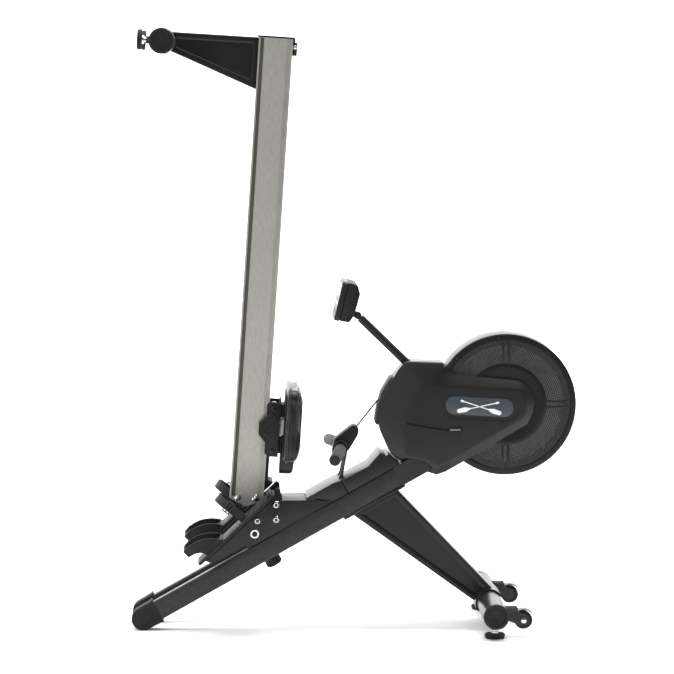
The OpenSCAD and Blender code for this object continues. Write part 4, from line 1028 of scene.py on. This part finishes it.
# %% Front panel
# Its outline stands 9 mm proud of the shroud's front edge
PANEL = [(-0.316, 0.082), (-0.3475, 0.082), (-0.3745, 0.036), (-0.3860, -0.004), (-0.3937, -0.050),
         (-0.3915, -0.062), (-0.316, -0.062)]
bm = bmesh.new()
slab(bm, PANEL, -0.040, 0.040, corner=0.004, edge=0.003)
mouth = bmesh.new()
block(mouth, (-0.43, -0.015, 0.0015), (-0.33, 0.015, 0.0155), 0.002)
bm = minus(bm, mouth)
for i in range(5):
    block(bm, (-0.3945 + 0.0012 * i, -0.034, -0.052 + i * 0.009), (-0.380, 0.034, -0.0485 + i * 0.009),
          0.001)
piece("strap_panel", bm, panel_grey, "frame", ["front_panel"], FAN)

# %% [markdown]
# ## Fan cage
# Air enters through a ring of pressed mesh on each side. A picture of holes would look flat, so the mesh is
# real: one radial strip of cells is spun into a ring, every cell is inset, and the middle is deleted, which
# leaves a lattice of thin bars. The cells stay simple because there are thousands of them. Three spokes, a
# plain disc and a rounded outer ring hold the mesh.

# %% Mesh ring, spokes, disc and rim
MESH_IN, MESH_OUT, CELLS_OUT, CELLS_ROUND = 0.124, 0.196, 13, 200


def mesh_ring():
    bm = bmesh.new()
    row = [bm.verts.new((MESH_IN + (MESH_OUT - MESH_IN) * i / CELLS_OUT, -0.0585, 0))
           for i in range(CELLS_OUT + 1)]
    edges = [bm.edges.new(pair) for pair in zip(row, row[1:])]
    bmesh.ops.spin(bm, geom=row + edges, cent=(0, 0, 0), axis=(0, 1, 0), angle=2 * math.pi,
                   steps=CELLS_ROUND,
                   use_merge=True)
    cells = list(bm.faces)
    bmesh.ops.inset_individual(bm, faces=cells, thickness=0.0009, use_even_offset=True)
    bmesh.ops.delete(bm, geom=cells, context="FACES")
    bmesh.ops.recalc_face_normals(bm, faces=bm.faces)
    bmesh.ops.solidify(bm, geom=bm.faces[:], thickness=0.0008)
    return bm


def cage_side(name, replaced, far):
    bm = bmesh.new()
    rim = [(-0.056, 0.1945), (-0.0585, 0.1945), (-0.060, 0.1965), (-0.060, 0.206), (-0.0592, 0.2105),
           (-0.0565, 0.2135), (-0.0525, 0.214), (-0.0525, 0.211), (-0.056, 0.209)]
    turned(bm, rim, steps=160)
    turned(bm, [(-0.0572, 0.015), (-0.0588, 0.016), (-0.0588, 0.100), (-0.0600, 0.112), (-0.0600, 0.122),
                (-0.0580, 0.1255), (-0.0565, 0.1255), (-0.0565, 0.015)], steps=128)
    for a in (0, math.pi / 2, -math.pi / 2, math.pi):
        spoke = Matrix.Rotation(a, 4, "Y")
        for z in (-0.0085, 0.0085):
            block(bm, (0.120, -0.0600, z - 0.0028), (0.198, -0.0565, z + 0.0028), 0.0008, place=spoke)
    if far:
        bmesh.ops.scale(bm, vec=(1, -1, 1), verts=bm.verts)
        bmesh.ops.reverse_faces(bm, faces=bm.faces)
    piece(name, bm, finishes["cage_paint"], "frame", [replaced], FAN, normals=False)
    bm = mesh_ring()
    if far:
        bmesh.ops.scale(bm, vec=(1, -1, 1), verts=bm.verts)
        bmesh.ops.reverse_faces(bm, faces=bm.faces)
    piece(name + "_mesh", bm, mesh_grey, "frame", place=FAN, normals=False)


cage_side("fan_cage_near", "fan_grille_near", False)
cage_side("fan_cage_far", "fan_grille_far", True)
bm = bmesh.new()
turned(bm, [(-0.056, 0.211), (-0.056, 0.2135), (-0.0535, 0.214), (0.0535, 0.214), (0.056, 0.2135),
            (0.056, 0.211)],
       steps=160)
# Baffle rings close the gap between the wheel's rim and the drum
for y in (-0.0485, 0.0465):
    turned(bm, [(y, 0.178), (y, 0.2115), (y + 0.002, 0.2115), (y + 0.002, 0.178)], steps=128)
piece("fan_drum_band", bm, finishes["cage_paint"], "frame", ["fan_drum"], FAN)

# %% [markdown]
# ## Fan wheel
# Behind the mesh stands a bare moulded wheel of 24 swept blades on a plate. One blade is a slab with a
# curved outline; copies of it are turned round the hub. The pale grey of the blades is what shows through
# the holes.

# %% Blades, plate and hub
BLADES, BLADE_IN, BLADE_OUT = 24, 0.088, 0.182
bm = bmesh.new()
one = []
for i in range(9):
    t = i / 8
    r = BLADE_IN + (BLADE_OUT - BLADE_IN) * t
    sweep_angle = -0.34 * t * t
    one.append((r * math.cos(sweep_angle), r * math.sin(sweep_angle)))
outline = one + [(x + 0.0006, z + 0.0022) for x, z in reversed(one)]
for i in range(BLADES):
    slab(bm, outline, -0.044, 0.044, edge=0.0005, segments=1,
         place=Matrix.Rotation(i * 2 * math.pi / BLADES, 4, "Y"))
turned(bm, [(-0.0015, 0.03), (-0.0015, 0.181), (0, 0.182), (0.0015, 0.181), (0.0015, 0.03)], steps=96)
turned(bm, [(-0.015, 0.0165), (-0.015, 0.034), (-0.012, 0.040), (0.012, 0.040), (0.015, 0.034),
            (0.015, 0.0165)],
       steps=64)
blade_plastic = finish("pale_fan_plastic", grey(0.5), grey(0.6), (0.25, 0.4), 600, 0.0001, dust=0.15,
                       specular=0.5)
piece("fan_wheel_blades", bm, blade_plastic, "fan", ["fan_wheel"], FAN)

# %% [markdown]
# ## Seat cushion
# The cushion is foam in vinyl: its sides bulge, its corners pull in, and it is flat only underneath, where
# it is stapled to the pan. A bevelled block is too stiff for that. So a slightly small block with its nose
# is remeshed into even cells, and a short cloth simulation with inner pressure inflates it. How far a point
# may move is capped, and the underside is held. The sewn seams come afterwards as piping, because a remesh
# would eat them.

# %% Cushion block before it is inflated
PAN_V = 0.0743
SEAT_LOW, SEAT_HIGH, SEAT_HALF, SEAT_T = 0.121, 0.353, 0.150, 0.048


def cushion_block():
    bm = bmesh.new()
    v0, v1 = PAN_V + 0.0003, PAN_V + SEAT_T
    inset = 0.006
    slab(bm, [(v0, -SEAT_HALF + inset), (v1 - inset, -SEAT_HALF + inset), (v1 - inset, SEAT_HALF - inset),
              (v0, SEAT_HALF - inset)], SEAT_LOW + inset, SEAT_HIGH - inset, place=CROSS)
    upright = [e for e in bm.edges if abs(e.verts[0].co.x - e.verts[1].co.x) > 0.01]
    bevel(bm, upright, 0.034, 6)
    rim = [e for e in bm.edges if all(v.co.x > v1 - inset - 1e-5 for v in e.verts)]
    bevel(bm, rim, 0.016, 5)
    nose = bmesh.new()
    slab(nose, [(v0 - 0.010, -0.030), (v1 - 0.014, -0.030), (v1 - 0.014, 0.030), (v0 - 0.010, 0.030)],
         SEAT_LOW - 0.046, SEAT_LOW + 0.02, place=CROSS)
    tip = [e for e in nose.edges
           if abs(e.verts[0].co.x - e.verts[1].co.x) > 0.01 and e.verts[0].co.z < SEAT_LOW]
    bevel(nose, tip, 0.026, 6)
    soft = [e for e in nose.edges if all(v.co.x > v1 - 0.015 for v in e.verts)]
    bevel(nose, soft, 0.011, 4)
    joined = bpy.data.meshes.new("nose")
    nose.to_mesh(joined)
    nose.free()
    bm.from_mesh(joined)
    return bm


bm = cushion_block()
cushion = piece("seat_cushion_vinyl", bm, finishes["seat_vinyl"], "seat", ["seat_cushion"],
                RAIL)

# %% Remesh and inflate
def inflate(obj, voxel, pressure, cap, frames, held):
    remesh = obj.modifiers.new("even", "REMESH")
    remesh.mode, remesh.voxel_size = "VOXEL", voxel
    applied(obj)
    rest = [v.co.copy() for v in obj.data.vertices]
    pins = obj.vertex_groups.new(name="held")
    pins.add([i for i, p in enumerate(rest) if held(p)], 1.0, "REPLACE")
    cloth = obj.modifiers.new("inflate", "CLOTH")
    cloth.settings.use_pressure = True
    cloth.settings.uniform_pressure_force = pressure
    cloth.settings.vertex_group_mass = "held"
    cloth.settings.effector_weights.gravity = 0
    cloth.point_cache.frame_end = frames
    for step in range(1, frames + 1):
        bpy.context.scene.frame_set(step)
    applied(obj)
    bpy.context.scene.frame_set(1)
    moved = 0.0
    for vert, start in zip(obj.data.vertices, rest):
        way = vert.co - start
        if way.length > cap:
            vert.co = start + way * (cap / way.length)
        moved = max(moved, min(way.length, cap))
    print("furthest point moved", round(moved, 4))


to_rail = RAIL.inverted()
inflate(cushion, 0.005, 4.0, 0.0055, 20, lambda p: (to_rail @ p).x < PAN_V + 0.004)
even = bmesh.new()
even.from_mesh(cushion.data)
bmesh.ops.smooth_vert(even, verts=even.verts, factor=0.5, use_axis_x=True, use_axis_y=True, use_axis_z=True)
even.to_mesh(cushion.data)
even.free()
cushion.data.shade_smooth()
if not cushion.data.materials:
    cushion.data.materials.append(finishes["seat_vinyl"])
smoother = cushion.modifiers.new("smooth", "SUBSURF")
smoother.levels = smoother.render_levels = 1

# %% Piping and base rim of the cushion
def around_seat(v, inset, corner=0.034):
    """Points round the cushion at height v above the rail's line, inset from its sides."""
    half, low, high = SEAT_HALF - inset, SEAT_LOW + inset, SEAT_HIGH - inset
    points = []
    for cy, cz, start in ((half - corner, high - corner, 0), (-half + corner, high - corner, 90),
                          (-half + corner, low + corner, 180), (half - corner, low + corner, 270)):
        for step in range(7):
            a = math.radians(start + step * 15)
            points.append((v, cy + corner * math.cos(a), cz + corner * math.sin(a)))
    return points + points[:1]


bm = bmesh.new()
hose(bm, around_seat(PAN_V + 0.009, 0.0025), 0.0022, 8)
hose(bm, around_seat(PAN_V + 0.030, 0.0015), 0.0014, 8)
piece("seat_piping", bm, finishes["seat_vinyl"], "seat", place=RAIL)
bm = bmesh.new()
block(bm, (0.0703, -0.092, 0.135), (0.0742, 0.092, 0.325), 0.0015)
piece("seat_pan_board", bm, finishes["black_plastic"], "seat", ["seat_pan"], RAIL)

# %% [markdown]
# ## Seat truck
# The truck is folded steel: two cheeks that reach over the rail and a bridge under the pan. Each cheek has
# a raised rib that follows its waist, and the heads of the roller axles. Pale spacers sit between the
# bridge and the pan.

# %% Cheeks, bridge and spacers
TOP_V, T_LOW, T_HIGH = 0.024, 0.131, 0.297
CHEEK = [(-0.001, T_HIGH), (-0.008, T_HIGH - 0.009), (-0.007, T_HIGH - 0.042), (-0.0285, T_HIGH - 0.063),
         (-0.0285, T_LOW + 0.066), (-0.007, T_LOW + 0.042), (-0.007, T_LOW + 0.009), (0.004, T_LOW),
         (0.034, T_LOW), (0.034, T_HIGH)]
bm = bmesh.new()
slab(bm, [(TOP_V + v, u) for v, u in CHEEK], -0.053, -0.050, edge=0.0008)
for a, b in (((0.0, 0.234), (0.031, 0.262)), ((0.017, 0.224), (0.044, 0.247)),
             ((0.011, 0.201), (0.042, 0.178)), ((-0.002, 0.197), (0.027, 0.166))):
    hose(bm, [(a[0], -0.0530, a[1]), (b[0], -0.0530, b[1])], 0.0024, 10)
for v, u in ((0.004, 0.215), (0.018, 0.211), (0.050, 0.140), (0.050, 0.290)):
    turned(bm, [(-0.0545, 0), (-0.0545, 0.002), (-0.0530, 0.003), (-0.052, 0.003), (-0.052, 0)],
           Matrix.Translation((v, 0, u)), 16)
mirror_y(bm)
block(bm, (0.054, -0.0499, 0.133), (0.058, 0.0499, 0.309), 0.001)
piece("truck_cheeks", bm, finishes["truck_steel"], "seat", ["seat_truck"], RAIL)
bm = bmesh.new()
block(bm, (0.0582, -0.042, 0.197), (0.0702, 0.042, 0.243), 0.0012)
piece("truck_spacer_pale", bm, finishes["roller_nylon"], "seat", place=RAIL)
bm = bmesh.new()
for low, high in ((0.141, 0.188), (0.251, 0.290)):
    block(bm, (0.0582, -0.042, low), (0.0702, 0.042, high), 0.0012)
piece("truck_spacers_dark", bm, finishes["black_plastic"], "seat", place=RAIL)


# %% Rollers
def roller(name, replaced):
    centre = joint_at(name + "_spin")
    place = Matrix.Translation(centre)
    bm = bmesh.new()
    for s in (-1, 1):
        turned(bm, [(s * 0.010, 0.0052), (s * 0.010, 0.013), (s * 0.0115, 0.0145), (s * 0.0285, 0.0145),
                    (s * 0.030, 0.013), (s * 0.030, 0.0105), (s * 0.028, 0.0095), (s * 0.028, 0.0052)],
                    place, 40)
    piece(name + "_tread", bm, finishes["roller_nylon"], name, [replaced])
    bm = bmesh.new()
    turned(bm, [(-0.0575, 0), (-0.0575, 0.004), (-0.0565, 0.0075), (-0.0534, 0.008), (-0.0534, 0.0049),
                (0.0534, 0.0049), (0.0534, 0.008), (0.0565, 0.0075), (0.0575, 0.004), (0.0575, 0)], place,
                24)
    piece(name + "_axle", bm, finishes["screw_black"], name)


roller("roller_upper", "seat_roller_upper")
roller("roller_lower", "seat_roller_lower")

# %% [markdown]
# ## Foot rests
# A foot rest is a moulded plate with a ribbed tread, a hollow heel cup that slides along it, and a webbing
# strap with a buckle over the toes. The cup is a thin curved wall, so its side profile is extruded across
# the foot and the room for the heel is cut out of it. The strap is flat webbing: a low wide ring carried
# along an arch.

# %% Plates with tread
PLATE_LEN, PLATE_IN, PLATE_OUT, PLATE_T = 0.306, 0.082, 0.202, 0.009
PLATE_MID = (PLATE_IN + PLATE_OUT) / 2
bm = bmesh.new()
block(bm, (0, -PLATE_OUT, 0), (PLATE_LEN, -PLATE_IN, PLATE_T), 0)
bevel(bm, [e for e in bm.edges if abs(e.verts[0].co.z - e.verts[1].co.z) > 0.001], 0.014, 6)
bevel(bm, [e for e in bm.edges if abs(e.verts[0].co.z - e.verts[1].co.z) < 1e-6 and len(e.link_faces) == 2
           and abs(sum(f.normal.z for f in e.link_faces)) < 1.5], 0.0018, 2)
for i in range(13):
    s = 0.128 + i * 0.0135
    if abs(s - 0.195) > 0.016:
        block(bm, (s, -PLATE_OUT + 0.012, PLATE_T - 0.001), (s + 0.006, -PLATE_IN - 0.012, PLATE_T + 0.0014),
              0.0008)
block(bm, (0.286, -PLATE_OUT + 0.006, PLATE_T - 0.001), (0.301, -PLATE_IN - 0.006, PLATE_T + 0.010), 0.003)
block(bm, (0.040, -0.162, -0.0049), (0.265, -0.0751, -0.0001), 0.0008)
for i in range(5):
    block(bm, (0.03 + i * 0.055, -PLATE_OUT + 0.008, -0.007), (0.034 + i * 0.055, -PLATE_OUT + 0.040, 0.001),
          0.0008)
mirror_y(bm)
piece("foot_plate_pair", bm, finishes["black_plastic"], "frame", ["foot_plates"], FOOT)


# %% Heel cups
def heel_cup(name, sign, replaced):
    half = 0.056
    bm = bmesh.new()
    profile = [(-0.006, 0.042), (0.014, 0.037), (0.028, 0.029), (0.036, 0.018), (0.038, 0.0094),
               (0.104, 0.0094), (0.094, 0.025), (0.080, 0.039), (0.065, 0.0505), (0.049, 0.059),
               (0.031, 0.064),
               (0.013, 0.067), (-0.007, 0.065)]
    slab(bm, profile, -half, half, corner=0.002, edge=0.005, segments=4)
    room = bmesh.new()
    slab(room, [(-0.0035, 0.0), (-0.0035, 0.090), (0.140, 0.090), (0.140, 0.0138), (0.0345, 0.0138),
                (0.0345, 0.0)],
         -half + 0.004, half - 0.004)
    bmesh.ops.bevel(room, geom=[e for e in room.edges if abs(e.verts[0].co.y - e.verts[1].co.y) < 1e-6
                                and abs(e.verts[0].co.x - e.verts[1].co.x) < 1e-6 and e.verts[0].co.x < 0],
                    offset=0.03, segments=8, profile=0.5, affect="EDGES", material=-1, clamp_overlap=True)
    bm = minus(bm, room)
    block(bm, (0.044, -0.0045, 0.003), (0.102, 0.0045, 0.012), 0.001)
    bmesh.ops.translate(bm, verts=bm.verts, vec=(0, sign * PLATE_MID, 0))
    piece(name + "_shell", bm, finishes["black_plastic"], replaced, [replaced], FOOT)


heel_cup("heel_cup_near", -1, "heel_cup_near")
heel_cup("heel_cup_far", 1, "heel_cup_far")

# %% Toe straps and buckles
STRAP_AT = FOOT @ Matrix.Translation((0.195, -PLATE_MID, 0)) @ Matrix.Rotation(-math.radians(10), 4, "Y")


def arch(angle, half, height, power=2.6):
    c, s = math.cos(angle), math.sin(angle)
    return (0, half * math.copysign(abs(c) ** (2 / power), c),
            height * abs(s) ** (2 / power) + PLATE_T + 0.0026)


def webbing(bm, half, height, width, thick, from_deg=0, to_deg=180, steps=36):
    """Two flat ribbons, bridged into a thin strap."""
    angles = [math.radians(from_deg + (to_deg - from_deg) * i / steps) for i in range(steps + 1)]
    before = set(bm.verts)
    row = [bm.verts.new(Vector(arch(a, half, height)) + Vector((-width / 2, 0, 0))) for a in angles]
    edges = [bm.edges.new(pair) for pair in zip(row, row[1:])]
    grown = bmesh.ops.extrude_edge_only(bm, edges=edges)["geom"]
    bmesh.ops.translate(bm, verts=[v for v in grown if isinstance(v, bmesh.types.BMVert)], vec=(width, 0, 0))
    faces = [f for f in bm.faces if f.verts[0] not in before]
    bmesh.ops.recalc_face_normals(bm, faces=faces)
    bmesh.ops.solidify(bm, geom=faces, thickness=thick)


bm = bmesh.new()
webbing(bm, 0.0488, 0.1018, 0.026, 0.0022)
webbing(bm, 0.0503, 0.1033, 0.024, 0.0018, 95, 168)
for i in (-1, 1):
    hose(bm, [Vector(arch(math.radians(a), 0.0500, 0.1030)) + Vector((i * 0.0105, 0, 0))
              for a in range(6, 176, 5)],
         0.0006, 6)
bmesh.ops.transform(bm, matrix=STRAP_AT, verts=bm.verts)
mirror_y(bm)
piece("toe_straps", bm, finishes["strap_webbing"], "frame", ["foot_straps"])
bm = bmesh.new()
for z in (0.0605, 0.071, 0.0815):
    hose(bm, [(-0.017, -0.0525, z), (0.017, -0.0525, z)], 0.0021, 10)
for x in (-0.0165, 0.0165):
    hose(bm, [(x, -0.0525, 0.0590), (x, -0.0525, 0.083)], 0.0024, 10)
bmesh.ops.transform(bm, matrix=STRAP_AT, verts=bm.verts)
mirror_y(bm)
piece("toe_buckles", bm, finishes["buckle"], "frame", ["strap_buckles"])

# %% [markdown]
# ## Neck covers
# Two moulded covers hide the beams between the gussets and the shroud, and the handle's hook stands on
# them. They are slabs in the beams' frame with softened edges and a seam of a millimetre between them.

# %% Covers over the neck
COVER_HALF, SEAM = 0.082, 0.727
LOWER = [(0.659, 0.045), (0.676, 0.0301), (SEAM - 0.0005, 0.0301), (SEAM - 0.0005, 0.075), (0.702, 0.079),
         (0.610, 0.079)]
UPPER = [(SEAM + 0.0005, 0.065), (SEAM + 0.0005, 0.0301), (0.905, 0.0301), (0.894, 0.060), (0.889, 0.0735),
         (0.880, 0.073), (0.870, 0.089), (0.819, 0.071), (0.737, 0.072), (SEAM + 0.0005, 0.074)]
bm = bmesh.new()
for points in (LOWER, UPPER):
    slab(bm, points, -COVER_HALF, COVER_HALF, edge=0.003, segments=4)
piece("neck_cover_shells", bm, finishes["shroud_plastic"], "frame", ["neck_covers"], BEAM)

# %% [markdown]
# ## Handle, hook and strap
# The handle is a moulded hub with two foam grips that sweep back. Foam is soft and dull, so it has a strong
# fine grain and rounded ends. The strap is flat webbing that runs from the hub to the spool.

# %% Hub and bars
HANDLE = Vector((-0.039, 0, 0.548))
SWEEP = (-0.026, -0.011)
GRIP_END = 0.249
hub = [(-0.027, -0.020), (-0.014, -0.024), (0.024, -0.012), (0.052, 0.034), (0.056, 0.052), (0.050, 0.064),
       (0.036, 0.066), (-0.018, 0.024)]
bm = bmesh.new()
slab(bm, hub, -0.028, 0.028, corner=0.006, edge=0.004)
slab(bm, [(0.004, -0.004), (0.020, 0.010), (0.042, 0.046), (0.036, 0.054), (0.006, 0.026), (-0.006, 0.010)],
     -0.0292, 0.0292, corner=0.004, edge=0.0012)
turned(bm, [(-0.064, 0), (-0.064, 0.0115), (0.064, 0.0115), (0.064, 0)], steps=40)
for s in (-1, 1):
    hose(bm, [(0, s * 0.055, 0), (0, s * 0.064, 0), (SWEEP[0] * 0.2, s * 0.10, SWEEP[1] * 0.2),
              (SWEEP[0], s * (GRIP_END - 0.004), SWEEP[1])], 0.0115, 24)
    turned(bm, [(s * 0.0285, 0.0115), (s * 0.0285, 0.0165), (s * 0.0315, 0.0165), (s * 0.0315, 0.0115)],
           steps=40)
piece("handle_hub", bm, finishes["black_plastic"], "handle", ["handle_bar"],
      Matrix.Translation(HANDLE))

# %% Foam grips
bm = bmesh.new()
direction = Vector((SWEEP[0], -(GRIP_END - 0.066), SWEEP[1]))
length = direction.length
turn = Vector((0, -1, 0)).rotation_difference(direction).to_matrix().to_4x4()
grip = [(-0.024, 0.0118), (-0.024, 0.0155), (-0.0262, 0.0175), (-length + 0.002, 0.0175),
        (-length - 0.003, 0.0155),
        (-length - 0.005, 0.011), (-length - 0.0052, 0)]
turned(bm, grip, Matrix.Translation((0, -0.062, 0)) @ turn, 48)
mirror_y(bm)
piece("foam_grips", bm, finishes["grip_foam"], "handle", ["handle_grips"],
      Matrix.Translation(HANDLE))

# %% Pull strap
STRAP_END = HANDLE + Vector((0.052, 0, 0.0638))
GUIDE = Vector((0.073, 0, 0.687))
bm = bmesh.new()
way = (GUIDE - STRAP_END).normalized()
path = [STRAP_END - way * 0.010 + (GUIDE - STRAP_END + way * 0.010) * (i / 24) for i in range(25)]
side = Vector((-way.z, 0, way.x))
row = [bm.verts.new(p + side * 0.0009 + Vector((0, -0.0118, 0))) for p in path]
edges = [bm.edges.new(pair) for pair in zip(row, row[1:])]
grown = bmesh.ops.extrude_edge_only(bm, edges=edges)["geom"]
bmesh.ops.translate(bm, verts=[v for v in grown if isinstance(v, bmesh.types.BMVert)], vec=(0, 0.0236, 0))
bmesh.ops.recalc_face_normals(bm, faces=bm.faces)
bmesh.ops.solidify(bm, geom=bm.faces[:], thickness=0.0030)
strap = piece("pull_webbing", bm, finishes["strap_webbing"], None, ["pull_strap"])
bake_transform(strap)

# %% [markdown]
# ## Mast and console
# The console is a shallow box on a ball-like hinge: a bezel with a glass screen and two keys, and a moulded
# back whose edges are strongly rounded. The screen shows only bars and ticks, which are generic marks.

# %% Mast
MAST_END = fan_centre + Vector((-0.250, 0, 0.078))
bm = bmesh.new()
line = (MAST_END - CONSOLE_HINGE).normalized()
hose(bm, [CONSOLE_HINGE + line * 0.011, CONSOLE_HINGE + line * 0.03, MAST_END, MAST_END + line * 0.022],
     0.0125, 40)
turned(bm, [(-0.011, 0), (-0.011, 0.0105), (-0.010, 0.0115), (0.010, 0.0115), (0.011, 0.0105), (0.011, 0)],
       Matrix.Translation(CONSOLE_HINGE), 40)
turned(bm, [(-0.019, 0), (-0.019, 0.004), (0.019, 0.004), (0.019, 0)], Matrix.Translation(CONSOLE_HINGE), 24)
block(bm, MAST_END + Vector((-0.010, -0.079, -0.012)), MAST_END + Vector((0.034, 0.079, 0.008)), 0.002)
piece("console_mast", bm, finishes["black_paint"], "frame", ["mast"])

# %% Bezel and back
HALF_W, CON_H, BEZEL_T = 0.093, 0.121, 0.016
bm = bmesh.new()
block(bm, (0.0, -HALF_W, 0.0), (BEZEL_T - 0.0002, HALF_W, CON_H), 0)
bevel(bm, [e for e in bm.edges if abs(e.verts[0].co.x - e.verts[1].co.x) > 0.01], 0.012, 6)
bevel(bm, [e for e in bm.edges if all(v.co.x < 1e-5 for v in e.verts)], 0.0035, 4)
window = bmesh.new()
block(window, (-0.002, -0.062, 0.046), (0.0022, 0.062, 0.108), 0)
for y in (-0.030, 0.030):
    turned(window, [(-0.002, 0), (-0.002, 0.0094), (0.003, 0.0094), (0.003, 0)],
           Matrix.Translation((0, y, 0.024)) @ Matrix.Rotation(-math.pi / 2, 4, "Z"), 32)
bm = minus(bm, window)
piece("console_bezel", bm, finishes["shroud_plastic"], "console", ["console_front"],
      CONSOLE)
bm = bmesh.new()
back = [(BEZEL_T, 0.002), (0.047, 0.0036), (0.054, 0.020), (0.0576, 0.0468), (0.0594, 0.0949),
        (0.047, 0.118),
        (0.035, 0.1205), (BEZEL_T, 0.120)]
slab(bm, back, -0.0915, 0.0915, corner=0.005, edge=0.010, segments=5)
for sign in (-1, 1):
    a, b = sorted((sign * 0.0115, sign * 0.0165))
    slab(bm, [(0.050, 0.019), (0.074, 0.016), (0.081, 0.020), (0.081, 0.030), (0.074, 0.034),
              (0.050, 0.038)], a, b,
         corner=0.003, edge=0.0008)
for i in range(6):
    block(bm, (0.0560, -0.040, 0.052 + i * 0.006), (0.0594, 0.040, 0.0545 + i * 0.006), 0.0008)
piece("console_back_shell", bm, finishes["black_plastic"], "console", ["console_back"],
      CONSOLE)

# %% Screen with generic marks, and keys
bm = bmesh.new()
block(bm, (0.0003, -0.0619, 0.0461), (0.0019, 0.0619, 0.1079), 0.0003, 1)
piece("console_glass", bm, finishes["screen"], "console", ["console_screen"], CONSOLE)
bm = bmesh.new()
for i in range(12):
    height = 0.006 + 0.020 * abs(math.sin(i * 0.7 + 0.4))
    block(bm, (0.0001, -0.050 + i * 0.0085, 0.054), (0.0004, -0.044 + i * 0.0085, 0.054 + height), 0)
for i in range(9):
    block(bm, (0.0001, -0.050 + i * 0.0125, 0.092), (0.0004, -0.0485 + i * 0.0125, 0.099), 0)
block(bm, (0.0001, -0.050, 0.0885), (0.0004, 0.0515, 0.0895), 0)
piece("screen_marks", bm, finishes["button_grey"], "console", place=CONSOLE)
for name, y in (("button_left", -0.030), ("button_right", 0.030)):
    bm = bmesh.new()
    turned(bm, [(-0.0020, 0), (-0.0019, 0.005), (-0.0012, 0.0082), (0.0, 0.009), (0.0038, 0.009),
                (0.0038, 0)],
           Matrix.Translation((0, y, 0.024)) @ Matrix.Rotation(-math.pi / 2, 4, "Z"), 32)
    piece(name + "_key", bm, finishes["button_grey"], name, [name], CONSOLE)

# %% [markdown]
# ## Lock pin knob
# The knob under the beams is gripped with wet hands, so its rim is scalloped. It is turned first, and then
# small ribs are set round its rim.

# %% Knob and pin
PIN = BEAM @ Matrix.Translation((0.4246, 0, 0)) @ UPRIGHT
bm = bmesh.new()
knob = [(-0.064, 0), (-0.064, 0.019), (-0.0615, 0.0225), (-0.040, 0.0235), (-0.0365, 0.021), (-0.036, 0.014),
        (-0.036, 0.0061), (0.079, 0.0061), (0.080, 0.005), (0.080, 0)]
turned(bm, knob, steps=48)
for i in range(18):
    block(bm, (0.0215, -0.0605, -0.0022), (0.0248, -0.0390, 0.0022), 0.0012, 2,
          place=Matrix.Rotation(i * math.pi / 9, 4, "Y"))
piece("lock_knob", bm, finishes["black_plastic"], "lock_pin", ["lock_pin"], PIN)

# %% [markdown]
# ## Finishes for the parts that keep their engineering shape
# Some parts already have their full shape in the frame, such as the extruded rail with its grooves, bolts,
# brackets, axles and the lock knob. They only need a finish. A frame part's mesh is never edited, so its
# material slots are set, each by the slot that the record names for it.

# %% Finish every remaining part
slot_of = {s["node"]: s["material_slot"] for s in record["subparts"]}
kept = 0
for name, obj in nodes.items():
    if obj.hide_render:
        continue
    obj.data.materials.clear()
    obj.data.materials.append(finishes[slot_of[name]])
    kept += 1
print(kept, "frame parts kept their shape")
